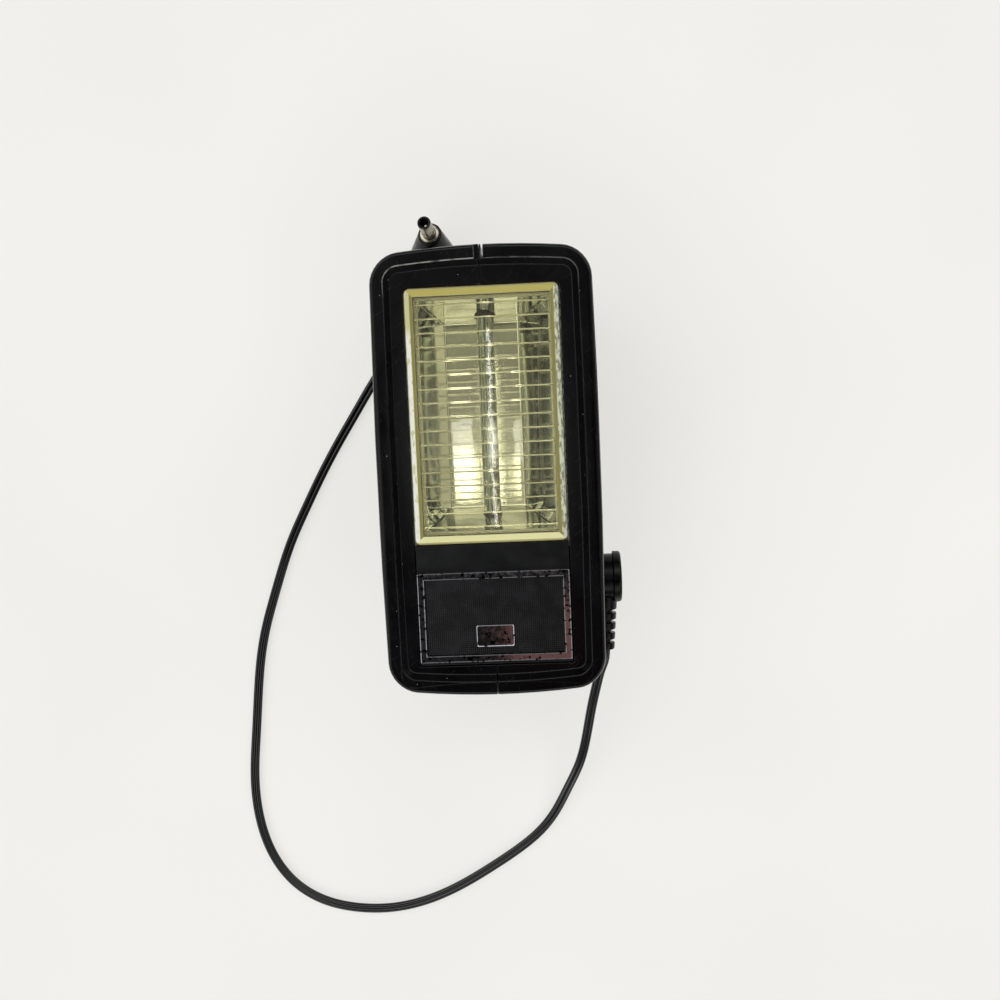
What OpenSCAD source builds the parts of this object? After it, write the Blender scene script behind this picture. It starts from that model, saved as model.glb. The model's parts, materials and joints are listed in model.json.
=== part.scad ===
// Compact shoe mount flash, lying on its back, with its sync cord plugged in.
// Millimetres. +Z is the way the light goes, +Y the flash's top end, +X its right side seen from the front.
// The origin is under the middle of the front frame, on the surface that the flash lies on.

/* [Front frame] */
// Width of the front frame at its waist
frame_w = 54.8; // [52:0.2:58]
// Length of the front frame over its crowned ends
frame_h = 110; // [108:0.5:114]
// Depth of the front frame from its rim to its back edge
frame_t = 9; // [8:0.25:10]
// How far the long sides bow out in the middle
frame_bow = 0.65; // [0:0.05:1]
// How far the two ends crown out in the middle
frame_crown = 1.8; // [0.5:0.1:2.4]
// Radius of the frame's corners
frame_corner_r = 7; // [6:0.25:9]
// Rounding of the frame's outer edge
frame_edge = 1; // [0.5:0.1:1.4]
// Width of the raised rim
rim_w = 3.4; // [2.8:0.1:3.8]
// Width of the slope from the rim down to the inner band
rim_slope = 1.6; // [1:0.1:2]
// Height of the rim over the inner band
rim_h = 1.4; // [1:0.1:1.8]

/* [Housing] */
// Depth of the flash from its rim to its back
body_d = 40; // [39:0.25:44]
// How far the housing stands in from the frame's edge
body_inset = 3.6; // [3.2:0.1:4]
// Thickness of the side and front walls
wall = 2; // [1.6:0.1:2.2]
// Thickness of the back wall
back_wall = 2.6; // [2.4:0.1:2.8]
// Chamfer round the back
back_edge = 1.2; // [0.6:0.1:1.6]
// From the battery door up to where the back starts to slant
bend_margin = 2.3; // [2:0.1:3]
// Angle of the slanted upper part of the back
slant_deg = 12; // [10:0.5:13]
// Gap along the parting line between the two half shells
seam_gap = 0.1; // [0.05:0.05:0.2]

/* [Window] */
// Width of the window lens
lens_w = 37.4; // [35:0.1:38]
// From the frame's top edge to the window lens
lens_margin = 9.8; // [9:0.1:11]
// From the window lens to the name plate
plate_gap = 7.1; // [6:0.1:8]
// From the lower end of the panel to the frame's lower edge
panel_margin = 7.6; // [7:0.1:9]
// Thickness of the lens face
lens_t = 2; // [1.6:0.1:2.2]
// How far the lens stands out of the inner band
lens_rise = 0.6; // [0.2:0.1:0.9]
// Thickness of the lens's skirt walls
skirt_t = 2.2; // [1.8:0.1:2.6]
// Length of the skirt behind the lens face
skirt_d = 3.6; // [3:0.1:4]
// Radius of the lens's upright corners
lens_corner_r = 1.4; // [0.8:0.1:1.8]
// Pitch of the ribs across the lens
rib_pitch = 3.4; // [2.8:0.1:4.5]
// Width of the lip that holds the lens and panel behind the frame
lip_w = 1.6; // [1.2:0.1:1.8]
// Thickness of that lip
lip_t = 1.6; // [1.2:0.1:1.8]
// Clearance round the lens and panel in their opening
fit_gap = 0.25; // [0.15:0.05:0.35]

/* [Name plate] */
// Height of the plate's chrome frame
plate_h = 22.3; // [20:0.1:22.6]
// Width of the chrome band
plate_band = 1.7; // [1.2:0.1:2]
// Height of the chrome band over the panel
plate_rise = 1; // [0.7:0.1:1.2]
// Thickness of the dark insert
insert_t = 0.35; // [0.25:0.05:0.5]
// Width of the small bare badge
badge_w = 9.4; // [7:0.1:10]
// Height of the small bare badge
badge_h = 5.4; // [4:0.1:6]

/* [Flash head] */
// Width of the flat back of the reflector
reflector_floor = 19.5; // [16:0.5:22]
// How far the flat back and the flash tube sit to the left of the window's middle
reflector_left = 1.4; // [0:0.1:2]
// How much the reflector's end walls slope in
reflector_end = 5; // [4:0.25:6]
// Thickness of the reflector sheet
sheet_t = 0.6; // [0.4:0.1:0.8]
// Diameter of the glass flash tube
tube_dia = 4; // [3.6:0.1:4.4]
// How far the glass flash tube reaches past the reflector's ends
tube_past = 2.3; // [2:0.1:3]
// Bore of the glass flash tube
tube_bore = 2.8; // [2.4:0.1:3]

/* [Battery] */
// Diameter of an AA cell
cell_dia = 14.2; // [13.8:0.1:14.4]
// Length of an AA cell with its nub
cell_len = 50.5; // [49.5:0.1:50.6]
// Room for one leaf contact
leaf_room = 3.1; // [2.8:0.1:3.4]
// Thickness of the battery door
door_t = 2.3; // [2:0.1:2.4]
// How far the battery door's lower end stands in from the housing's lower end
door_short = 1.4; // [1.2:0.1:2.4]
// Clearance of pieces that slide
slide_gap = 0.3; // [0.25:0.05:0.35]

/* [Shoe foot] */
// Width of the foot plate
foot_w = 18.6; // [18.3:0.05:18.6]
// Thickness of the foot plate
foot_t = 2; // [1.8:0.05:2.05]
// Length of the foot plate
foot_len = 20; // [18:0.25:20]
// Width of the neck between the rails
neck_w = 12.3; // [11.5:0.1:12.4]
// Height of the middle of the foot over the back
foot_z = 15; // [14:0.25:16]
// Diameter of the centre contact
contact_dia = 3; // [2.6:0.1:3.2]
// How far the centre contact stands out and can be pressed in
contact_travel = 0.5; // [0.3:0.05:0.6]

/* [Controls] */
// Radius of the exposure dial
dial_r = 12.5; // [11.5:0.25:12.75]
// From the bend of the back to the dial's scale ring
dial_margin = 1; // [0.6:0.1:3]
// Thickness of the dial
dial_t = 1.6; // [1.4:0.1:1.8]
// How far the dial stands out of the back
dial_rise = 0.9; // [0.7:0.05:1]
// Width of the fixed scale ring round the dial
scale_w = 2.7; // [2.2:0.1:3]
// From the housing's top end to the middle of the test button and ready light, up the slant
keys_end = 5.4; // [5:0.1:6.5]
// From the inside of the housing's sides to the middle of the test button and ready light
keys_side = 6; // [5.5:0.1:8]
// Diameter of the test button and of the ready light
key_dia = 5; // [4:0.1:5.2]
// How far the test button can be pressed
press = 0.9; // [0.6:0.05:1]
// Place of the power switch along the left side, at rest
switch_y = 18; // [15:0.5:20]
// From the back edge of the front frame to the middle of the power switch
switch_drop = 7; // [6:0.25:8]
// Travel of the power switch
switch_travel = 4; // [3:0.25:4.5]

/* [Sync cord] */
// Place of the sync jack along the right side
jack_y = -29.2; // [-30:0.1:-28.6]
// Diameter of the sync plug's pin
pin_dia = 2.5; // [2.3:0.05:2.5]
// Length of the sync plug's pin
pin_len = 11; // [10:0.25:11]
// Radial clearance of the pin in its jack
pin_gap = 0.05; // [0.03:0.01:0.08]
// Radius of the plug's drum
drum_r = 6; // [5.4:0.1:6.2]
// Width of the cord
cord_w = 2.6; // [2.2:0.1:2.8]
// Thickness of the cord
cord_t = 1.4; // [1.1:0.1:1.5]
// Outer diameter of the camera plug's sleeve
sleeve_dia = 3.5; // [3.4:0.05:3.5]
// Length of the camera plug's sleeve
sleeve_len = 7; // [6:0.25:7.5]

/* [Hidden] */
$fn = 64;

// A hair's breadth, the overshoot of cuts, a size past everything, and the clearance of close fits
thin = 0.02;
over = 1;
big = 200;
close_gap = 0.05;
black = [0.07, 0.07, 0.075];
bright = [0.75, 0.75, 0.77];
brass = [0.78, 0.65, 0.35];

// Heights worked out from the depth of the flash
front_z = body_d;
band_z = front_z - rim_h;
frame_back_z = front_z - frame_t;
front_in_z = band_z - wall;
lens_z = band_z + lens_rise;
skirt_z = lens_z - lens_t - skirt_d;
panel_drop = 0.1;
panel_z = band_z - panel_drop;

// The front frame's outline, set in by a distance, with bowed sides, crowned ends and round corners
corner_steps = 8;
side_steps = 8;
least_r = 0.8;
function arc_points(c, r, a) =
  [for (k = [0:corner_steps]) c + r * [cos(a + 90 * k / corner_steps), sin(a + 90 * k / corner_steps)]];
function side_points(p, q) = [for (k = [1:side_steps - 1]) p + (q - p) * k / side_steps];
function bent(p) = [
  p[0] * (1 - 2 * frame_bow / frame_w * pow(2 * p[1] / frame_h, 2)),
  p[1] * (1 - 2 * frame_crown / frame_h * pow(2 * p[0] / frame_w, 2))];
function outline(inset) =
  let (a = frame_w / 2 - inset, b = frame_h / 2 - inset, r = max(frame_corner_r - inset, least_r))
  let (c = a - r, d = b - r)
  [for (p = concat(
    arc_points([c, d], r, 0), side_points([c, b], [-c, b]),
    arc_points([-c, d], r, 90), side_points([-a, d], [-a, -d]),
    arc_points([-c, -d], r, 180), side_points([-c, -b], [c, -b]),
    arc_points([c, -d], r, 270), side_points([a, -d], [a, d]))) bent(p)];

// A slab of that outline, and a body through several levels of it from the lowest up, each [height, inset]
module slab(z0, z1, inset) translate([0, 0, z0]) linear_extrude(z1 - z0) polygon(outline(inset));
module lofted(levels) {
  n = len(levels);
  m = len(outline(0));
  rings = [for (l = levels) [for (p = outline(l[1])) [p[0], p[1], l[0]]]];
  walls = [for (k = [0:n - 2], j = [0:m - 1], half = [0, 1])
    let (a = k * m + j, b = k * m + (j + 1) % m)
    half == 0 ? [a, a + m, b + m] : [a, b + m, b]];
  caps = [[for (j = [0:m - 1]) j], [for (j = [1:m]) n * m - j]];
  polyhedron([for (r = rings) each r], concat(walls, caps));
}

// The slanted back: local X across, Y up the slant, Z into the flash
module on_slant() translate([0, bend_y, 0]) rotate([slant_deg, 0, 0]) children();
module under_slant(depth) on_slant() translate([-big / 2, -big / 2, depth - big]) cube(big);

// A box by its spans in X, Y and Z, and rods along X and Y
module span_box(x0, x1, y0, y1, z0, z1) translate([x0, y0, z0]) cube([x1 - x0, y1 - y0, z1 - z0]);
module x_rod(x0, x1, y, z, r) translate([x0, y, z]) rotate([0, 90, 0]) cylinder(h = x1 - x0, r = r);
module y_rod(y0, y1, x, z, r) translate([x, y0, z]) rotate([-90, 0, 0]) cylinder(h = y1 - y0, r = r);

// A box with its upright edges rounded
module rounded_box(x0, x1, y0, y1, z0, z1, r) translate([0, 0, z0]) linear_extrude(z1 - z0) polygon(concat(
  arc_points([x1 - r, y1 - r], r, 0), arc_points([x0 + r, y1 - r], r, 90),
  arc_points([x0 + r, y0 + r], r, 180), arc_points([x1 - r, y0 + r], r, 270)));

// Inside faces of the housing
side_x = frame_w / 2 - body_inset;
side_in_x = side_x - wall;
end_y = frame_h / 2 - body_inset;
end_in_y = end_y - wall;
function side_at(y) = side_x - frame_bow * pow(2 * y / frame_h, 2);

// Case screws, driven from the right
boss_r = 2.25;
screw_r = 0.95;
screw_head_r = 1.9;
screw_head_t = 1.6;
screw_len = 16;
screw_seat_x = 8;
screw_gap = 0.2;
screw_hole = 10;

// Lens and panel, one above the other, in one opening
panel_side = 0.15;
plate_side = 0.05;
plate_edge = 0.8;
panel_end = panel_margin - frame_h / 2;
plate_top = panel_end + plate_edge + plate_h;
lens_end = plate_top + plate_gap;
lens_top = frame_h / 2 - lens_margin;
lens_h = lens_top - lens_end;
lens_y = (lens_top + lens_end) / 2;
panel_w = lens_w + 2 * panel_side;
plate_w = panel_w - 2 * plate_side;
opening_w = panel_w + 2 * fit_gap;

// Notch in the top of the rim left of the parting line, and a slot right of it
notch_w = 1.2;
notch_depth = 0.9;
notch_past = 0.3;
slot_x = 0.45;
slot_w = 0.5;
slot_len = 3.2;

// Battery compartment, from the lower end up, and the door and bend that follow it
cell_r = cell_dia / 2;
cell_gap = 0.2;
cell_x = cell_r + cell_gap;
cell_z = door_t + cell_gap + cell_r;
contact_t = 0.4;
tray_wall = 0.8;
tray_gap = 0.8;
link_seat = 0.5;
tray_in_x = cell_x + cell_r + slide_gap;
tray_top_z = cell_z + cell_r + cell_gap / 2;
lower_plate_y = tray_gap + tray_wall + contact_t - end_in_y;
link_y = lower_plate_y + leaf_room + cell_len;
door_w = 2 * tray_in_x;
door_top = link_y - link_seat;
door_end = door_short - end_y;
bend_y = door_top + bend_margin;
slant_len = (end_y - bend_y) / cos(slant_deg);
contact_half = 5.5;
nub_r = 2.7;
nub_len = 1;
groove_depth = 2.5;
groove_z0 = 0.9;
groove_z1 = 1.9;
tongue_gap = 0.22;

// Switch, button and ready light
knob_l = 12.4;
knob_h = 6;
knob_t = 1.6;
stem_l = 3;
stem_h = 2.4;
stem_short = 0.1;
stem_end_x = -side_in_x - stem_short;
switch_z = frame_back_z - switch_drop;
key_r = key_dia / 2;
keys_x = side_in_x - keys_side;
keys_v = slant_len - keys_end;
key_flange = 0.7;
key_flange_t = 0.8;
dial_recess = dial_t - dial_rise + slide_gap;
ring_r = dial_r + slide_gap + scale_w;
dial_v = dial_margin + ring_r;
rivet_r = 1.5;

// Foot and its screws
foot_end = -frame_h / 2;
foot_screw_r = 0.95;
foot_screw_head = 1.7;
foot_screw_sink = 1;
foot_screw_gap = 0.1;
foot_screw_x = 4;
foot_screw_dz = 6;
contact_flange_w = 0.8;
contact_flange_r = contact_dia / 2 + contact_flange_w;
contact_flange_t = 0.6;
contact_seat_y = foot_end + foot_t - contact_flange_t;

// Board and what it carries
board_z = 13;
board_t = 1.6;
board_gap = 0.8;
board_len = 29.2;
board_right = side_in_x - board_gap;
board_w = 2 * board_right;
board_y0 = bend_y + board_gap;
board_y1 = board_y0 + board_len;
rail_w = 2.2;
rail_t = 1.2;
rail_short = 1;

// Reflector, as deep as the battery tray lets it be, and the flash tube in it
reflector_gap = 1;
reflector_rim_z = skirt_z;
reflector_back_z = tray_top_z + tray_wall + reflector_gap;
reflector_d = reflector_rim_z - reflector_back_z - sheet_t;
reflector_w = lens_w - 2 * skirt_t;
reflector_h = lens_h - 2 * skirt_t;
tube_r = tube_dia / 2;
tube_right = 1;
tube_x = tube_right - reflector_left;
tube_lift = 3.4;
tube_z = reflector_back_z + sheet_t + tube_lift;
reflector_hole = reflector_h / 2 - reflector_end * (1 - tube_lift / reflector_d);
tube_y0 = lens_y - reflector_hole - tube_past;
tube_y1 = lens_y + reflector_hole + tube_past;
grommet_wall = 0.5;
grommet_r = tube_r + grommet_wall;
grommet_in = 0.5;
grommet_len = 2.5;

// Sync plug, and its jack over the battery tray
jack_lift = 0.2;
jack_r = 3.4;
jack_z = tray_top_z + tray_wall + jack_lift + jack_r;
plug_x = side_at(jack_y) + slide_gap;
plug_neck = 6.2;
disc_t = 2.1;
disc_brim = 0.6;
disc_r = drum_r + disc_brim;
plug_out_x = plug_x + plug_neck + disc_t;
relief_in = 3.6;
relief_x = plug_x + relief_in;
relief_len = 14;
relief_bite = 1;
relief_y = jack_y - drum_r + relief_bite;
relief_r0 = 3.6;
relief_r1 = 2.4;
relief_ribs = 5;
jack_neck_r = 2.5;
jack_wall_gap = 0.1;
jack_end = 0.6;
pin_r = pin_dia / 2;
jack_in_x = plug_x - pin_len - jack_end;

// Capacitor between the battery tray and the panel
cap_room = 0.4;
cap_seat_z = tray_top_z + tray_wall;
cap_r = (front_in_z - lip_t - cap_seat_z - cap_room) / 2;
boss_room = 0.5;
low_boss_y = boss_r + boss_room - end_in_y;
cap_y = low_boss_y + boss_r + boss_room + cap_r;
cap_z = cap_seat_z + cap_r;
cap_gap = 0.8;
cap_x0 = cap_gap - side_in_x;
cap_x1 = jack_in_x - cap_gap;

// Where the case screws go, as [Y, Z]: over the reflector, under it and below the capacitor
screw_dz = 2;
case_screw_places = [
  [end_in_y - boss_r - boss_room / 4, frame_back_z - boss_r - 2 * boss_room],
  [lens_end - lip_w - boss_r, cap_z + screw_dz],
  [low_boss_y, cap_z + screw_dz]];

// Camera plug: its base flat on the surface, and its tip on a neck that leans up and to the left
pc_base = [-15, 57.2, 0.1];
pc_neck = [-14.4, 62.3, 12.3];
pc_lean = 13;
pc_left = 4.5;
pc_base_r = 6.4;
pc_neck_r = 3.15;
pc_collar_r = 2.55;
pc_collar_t = 0.9;
sleeve_wall = 0.4;
sleeve_bore = sleeve_dia - 2 * sleeve_wall;
pc_pin_r = 0.5;
insulator_drop = 3;
pin_drop = 2;
pc_relief_end = [-18.4, 45.4, 1.9];
pc_relief_start = [-15.2, 55.4, 3.6];
pc_relief_r0 = 2.5;
pc_relief_r1 = 1.6;

// Route of the cord, from the sync plug's relief round to the camera plug's
cord_route = [[27.5, -48.2, 21.2], [27.2, -51, 20.8], [26.3, -53.8, 19.6], [25.2, -58, 17.6], [23.7, -65, 14.2],
  [21.8, -75.6, 9.4], [19.6, -84.2, 5.4], [16.3, -91.6, 2.8], [12.1, -99.4, 1.4], [7.5, -105, 0.8],
  [2.3, -109.2, 0.8], [-5.3, -114.2, 0.8], [-14.6, -119.6, 0.8], [-24.8, -124, 0.8], [-34.9, -126.2, 0.8],
  [-46, -126, 0.8], [-55.7, -123.4, 0.8], [-63.7, -118, 0.8], [-69.6, -109.4, 0.8], [-72.8, -98.2, 0.8],
  [-73.4, -86.4, 0.8], [-72.2, -73.6, 0.8], [-70.8, -60.8, 0.8], [-69.4, -51.2, 0.8], [-67.4, -42.8, 0.8],
  [-65.2, -36, 0.8], [-62.4, -28, 0.8], [-59.2, -19.8, 0.8], [-54.3, -10, 0.8], [-49.2, -0.6, 0.8],
  [-43.8, 8.4, 0.8], [-38.6, 16.4, 0.8], [-34, 23.4, 0.8], [-29.8, 29.4, 0.8], [-25.6, 35, 0.8],
  [-22.2, 39, 0.9], [-19.6, 42.4, 1.3], [-18.4, 45.4, 1.9]];
cord_sides = 8;

function unit(v) = v / norm(v);
function cord_way(k) =
  unit(cord_route[min(k + 1, len(cord_route) - 1)] - cord_route[max(k - 1, 0)]);
function cord_ring(k) =
  let (t = cord_way(k), s = unit(cross(t, [0, 0, 1])), u = cross(s, t))
  [for (j = [0:cord_sides - 1])
    let (a = 360 * (j + 0.5) / cord_sides)
    cord_route[k] + s * cos(a) * cord_w / 2 + u * sin(a) * cord_t / 2];

// Housing: the front frame, the body behind it, their hollow and every opening, before it is parted
module frame_solid() {
  mid_arc = frame_edge * (1 - cos(45));
  lofted([
    [frame_back_z, frame_edge / 2], [frame_back_z + frame_edge / 2, 0], [front_z - frame_edge, 0],
    [front_z - mid_arc, mid_arc], [front_z, frame_edge]]);
}
module body_solid() lofted([
  [0, body_inset + back_edge], [back_edge, body_inset], [frame_back_z + wall, body_inset]]);
module dish() lofted([[band_z, rim_w + rim_slope], [front_z + thin, rim_w]]);

module hollow() {
  difference() {
    slab(back_wall, front_in_z, body_inset + wall);
    under_slant(back_wall);
  }
  slab(frame_back_z + wall, front_in_z, wall);
}

module bosses() {
  for (p = case_screw_places) x_rod(-side_in_x - wall / 2, side_in_x + wall / 2, p[0], p[1], boss_r);
  for (s = [-1, 1]) {
    x0 = s > 0 ? side_in_x - rail_w : -side_in_x - wall / 2;
    span_box(x0, x0 + rail_w + wall / 2, board_y0 + rail_short, board_y1 - rail_short,
      board_z - rail_t, board_z);
  }
}

module case_screw_holes() for (p = case_screw_places) {
  x_rod(-screw_hole, 0, p[0], p[1], screw_r - screw_gap / 2);
  x_rod(-thin, screw_seat_x + thin, p[0], p[1], screw_r + screw_gap);
  x_rod(screw_seat_x, side_x + wall, p[0], p[1], screw_head_r + screw_gap);
}

module window_opening() {
  half = opening_w / 2;
  low = panel_end - fit_gap;
  rounded_box(-half, half, low, lens_top + fit_gap, front_in_z - over, front_z + over, lens_corner_r + fit_gap);
  span_box(-half, half, low, lens_end, front_in_z - over, front_z + over);
}

module rim_notch() {
  top = frame_h / 2 + over;
  low = frame_h / 2 - rim_w - notch_past;
  span_box(-notch_w, slot_x, low, top, front_z - notch_depth, front_z + over);
  span_box(slot_x, slot_x + slot_w, frame_h / 2 - slot_len, top, frame_back_z - over, front_z + over);
}

module door_way() {
  half = door_w / 2 + slide_gap;
  far = -frame_h / 2;
  span_box(-half, half, far, door_top + slide_gap, -over, back_wall + over);
  span_box(-half - groove_depth, half + groove_depth, far, door_top + slide_gap, groove_z0, groove_z1);
}

module key_holes() on_slant() {
  through = back_wall + 2 * over;
  translate([0, dial_v, -over]) cylinder(h = over + dial_recess, r = dial_r + slide_gap);
  translate([0, dial_v, -over]) cylinder(h = through, r = rivet_r + close_gap);
  translate([keys_x, keys_v, -over]) cylinder(h = through, r = key_r + slide_gap);
  translate([-keys_x, keys_v, -over]) cylinder(h = through, r = key_r + close_gap);
}

module side_holes() {
  x_rod(side_in_x - 2 * over, side_x + over, jack_y, jack_z, jack_neck_r + jack_wall_gap);
  half = stem_l / 2 + slide_gap;
  span_box(-side_x - over, over - side_in_x, switch_y - half, switch_y + switch_travel + half,
    switch_z - stem_h / 2 - slide_gap, switch_z + stem_h / 2 + slide_gap);
}

module foot_holes() for (sx = [-1, 1], sz = [-1, 1])
  y_rod(-end_y - over, over - end_in_y, sx * foot_screw_x, foot_z + sz * foot_screw_dz, foot_screw_r);

module housing() {
  difference() {
    union() {
      difference() {
        union() {
          frame_solid();
          body_solid();
        }
        dish();
        hollow();
      }
      bosses();
    }
    under_slant(0);
    window_opening();
    rim_notch();
    door_way();
    key_holes();
    side_holes();
    foot_holes();
    case_screw_holes();
  }
}

module half_space(side) span_box(side > 0 ? seam_gap / 2 : -big / 2, side > 0 ? big / 2 : -seam_gap / 2,
  -big / 2, big / 2, -big / 2, big / 2);

module left_shell() color(black) intersection() {
  housing();
  half_space(-1);
}

module right_shell() color(black) intersection() {
  housing();
  half_space(1);
}

// Window: a clear box moulding with ribs inside its face and a lip behind the frame
module window_lens() color([0.93, 0.9, 0.6, 0.5]) {
  in_w = lens_w - 2 * skirt_t;
  in_h = lens_h - 2 * skirt_t;
  ribs = floor(in_h / rib_pitch) - 1;
  rib_side = 0.3;
  difference() {
    union() {
      rounded_box(-lens_w / 2, lens_w / 2, lens_end, lens_top, skirt_z, lens_z, lens_corner_r);
      span_box(-lens_w / 2 - lip_w, lens_w / 2 + lip_w, lens_end - lip_w, lens_top + lip_w,
        front_in_z - lip_t, front_in_z);
    }
    span_box(-in_w / 2, in_w / 2, lens_y - in_h / 2, lens_y + in_h / 2, skirt_z - over, lens_z - lens_t);
  }
  for (k = [0:ribs])
    translate([0, lens_y + (k - ribs / 2) * rib_pitch, lens_z - lens_t])
      rotate([45, 0, 0]) cube([in_w, rib_side, rib_side], center = true);
}

// Dark panel below the window, which carries the name plate
module front_panel() color([0.08, 0.08, 0.085]) {
  lip_top = lens_end - lip_w - fit_gap;
  span_box(-panel_w / 2, panel_w / 2, panel_end, lens_end - fit_gap, front_in_z, panel_z);
  span_box(-panel_w / 2 - lip_w, panel_w / 2 + lip_w, panel_end - lip_w, lip_top,
    front_in_z - lip_t, front_in_z);
}

plate_y = plate_top - plate_h / 2;
module centred_slab(w, h, y, z, t) translate([-w / 2, y - h / 2, z]) cube([w, h, t]);

module nameplate_frame() color(bright) difference() {
  slope = 0.5;
  hull() {
    centred_slab(plate_w, plate_h, plate_y, panel_z, thin);
    centred_slab(plate_w - slope, plate_h - slope, plate_y, panel_z + plate_rise - thin, thin);
  }
  centred_slab(plate_w - 2 * plate_band, plate_h - 2 * plate_band, plate_y, panel_z - over,
    plate_rise + 2 * over);
}

module nameplate_insert() color([0.05, 0.05, 0.055])
  centred_slab(plate_w - 2 * plate_band, plate_h - 2 * plate_band, plate_y, panel_z, insert_t);

module nameplate_badge() color(bright) {
  drop = 4.8;
  badge_y = plate_y - drop;
  line = 0.45;
  rise = 0.4;
  difference() {
    centred_slab(badge_w, badge_h, badge_y, panel_z + insert_t, rise);
    centred_slab(badge_w - 2 * line, badge_h - 2 * line, badge_y, panel_z + insert_t + rise / 3, over);
  }
}

// Reflector: a folded tray with sloping sides and ends, holed for the tube
module tray(w0, h0, z0, w1, h1, z1) hull() {
  translate([-reflector_left, 0, 0]) centred_slab(w0, h0, lens_y, z0, thin);
  centred_slab(w1, h1, lens_y, z1 - thin, thin);
}

module reflector() color([0.8, 0.8, 0.78]) {
  end_h = reflector_h - 2 * reflector_end;
  s = 2 * sheet_t;
  difference() {
    union() {
      tray(reflector_floor + s, end_h + s, reflector_back_z,
        reflector_w + s, reflector_h + s, reflector_rim_z);
      centred_slab(lens_w, lens_h, lens_y, reflector_rim_z - sheet_t, sheet_t);
    }
    tray(reflector_floor, end_h, reflector_back_z + sheet_t,
      reflector_w, reflector_h, reflector_rim_z + thin);
    y_rod(tube_y0 - over, tube_y1 + over, tube_x, tube_z, grommet_r + close_gap);
  }
}

module flash_tube() color([0.9, 0.95, 0.95, 0.4]) difference() {
  y_rod(tube_y0, tube_y1, tube_x, tube_z, tube_r);
  y_rod(tube_y0 - over, tube_y1 + over, tube_x, tube_z, tube_bore / 2);
}

module tube_electrodes() color(bright) for (s = [-1, 1]) {
  y = s > 0 ? tube_y1 : tube_y0;
  cap = 1;
  plug = 6;
  wire = 2;
  wire_r = 0.4;
  translate([tube_x, y, tube_z]) rotate([-90 * s, 0, 0]) {
    cylinder(h = cap, r = tube_r);
    translate([0, 0, -plug]) cylinder(h = plug + cap / 2, r = tube_bore / 2 - close_gap);
    cylinder(h = cap + wire, r = wire_r);
  }
}

module tube_grommets() color([0.75, 0.72, 0.68]) for (s = [-1, 1]) {
  in_y = lens_y + s * (reflector_hole - grommet_in);
  out_y = in_y + s * grommet_len;
  difference() {
    y_rod(min(in_y, out_y), max(in_y, out_y), tube_x, tube_z, grommet_r);
    y_rod(tube_y0, tube_y1, tube_x, tube_z, tube_r + thin);
  }
}

module trigger_wire() color([0.72, 0.45, 0.28]) {
  wire_r = 0.2;
  short = 7.2;
  pitch = reflector_hole - short;
  turn_r = tube_r + wire_r + thin;
  for (k = [-1, 0, 1])
    translate([tube_x, lens_y + k * pitch, tube_z]) rotate([90, 0, 0])
      rotate_extrude() translate([turn_r, 0]) circle(wire_r);
  y_rod(lens_y - pitch, lens_y + pitch, tube_x, tube_z - turn_r - wire_r / 2, 0.8 * wire_r);
}

// Electronics behind the reflector
module circuit_board() color([0.55, 0.4, 0.2])
  span_box(-board_w / 2, board_w / 2, board_y0, board_y1, board_z, board_z + board_t);

module flash_capacitor() color([0.12, 0.14, 0.2]) {
  lead_r = 0.4;
  lead_len = 3;
  lead_dy = 3;
  lead_dz = 2;
  groove = 0.7;
  groove_in = 3;
  groove_out = 0.3;
  difference() {
    x_rod(cap_x0, cap_x1, cap_y, cap_z, cap_r);
    translate([cap_x1 - groove_in, cap_y, cap_z]) rotate([0, 90, 0])
      rotate_extrude() translate([cap_r + groove_out, 0]) circle(groove);
  }
  for (s = [-1, 1]) x_rod(cap_x1 - over, cap_x1 + lead_len, cap_y + s * lead_dy, cap_z + lead_dz, lead_r);
}

core_in = 9;
core_x = core_in - board_right;
core_w = 13;
core_h = 6.8;
core_leg = 3;
core_frame = 2;
core_y = board_y0 + core_w / 2 + cap_gap;
core_window = core_w / 2 - core_leg / 2 - core_frame;
module transformer_core() color([0.2, 0.2, 0.21]) difference() {
  out = core_w / 2;
  in = out - core_frame;
  span_box(core_x - out, core_x + out, core_y - out, core_y + out, board_z - core_h, board_z);
  for (s = [-1, 1]) {
    x = core_x + s * (core_leg + core_window) / 2;
    span_box(x - core_window / 2, x + core_window / 2, core_y - in, core_y + in, 0, board_z + over);
  }
}

module transformer_winding() color([0.8, 0.65, 0.2]) {
  gap = 0.1;
  low = 0.6;
  half = core_leg / 2 + core_window / 2;
  in = core_w / 2 - core_frame - gap;
  leg = core_leg / 2 + gap;
  difference() {
    span_box(core_x - half, core_x + half, core_y - in, core_y + in, board_z - core_h + low, board_z - gap);
    span_box(core_x - leg, core_x + leg, core_y - core_w, core_y + core_w, 0, board_z + over);
  }
}

// A box hanging under the board and a rod lying under it, set from the middle and from the board's lower edge
module under_board(x, y, w, l, t) span_box(x, x + w, board_y0 + y, board_y0 + y + l, board_z - t, board_z);
module rod_under_board(x, y, w, r) x_rod(x, x + w, board_y0 + y, board_z - r, r);

module trigger_coil() color([0.5, 0.25, 0.15]) {
  coil_in = 17;
  coil_y = 18;
  coil_len = 10;
  coil_r = 2.4;
  rod_under_board(board_right - coil_in, coil_y, coil_len, coil_r);
}

part_y = 2;
module oscillator_transistor() color([0.1, 0.1, 0.1]) difference() {
  in = 19;
  w = 8;
  l = 11;
  t = 2.8;
  hole_r = 1.6;
  hole_in = 2;
  x = board_right - in;
  under_board(x, part_y, w, l, t);
  translate([x + w / 2, board_y0 + part_y + l - hole_in, 0]) cylinder(h = big, r = hole_r);
}

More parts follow.
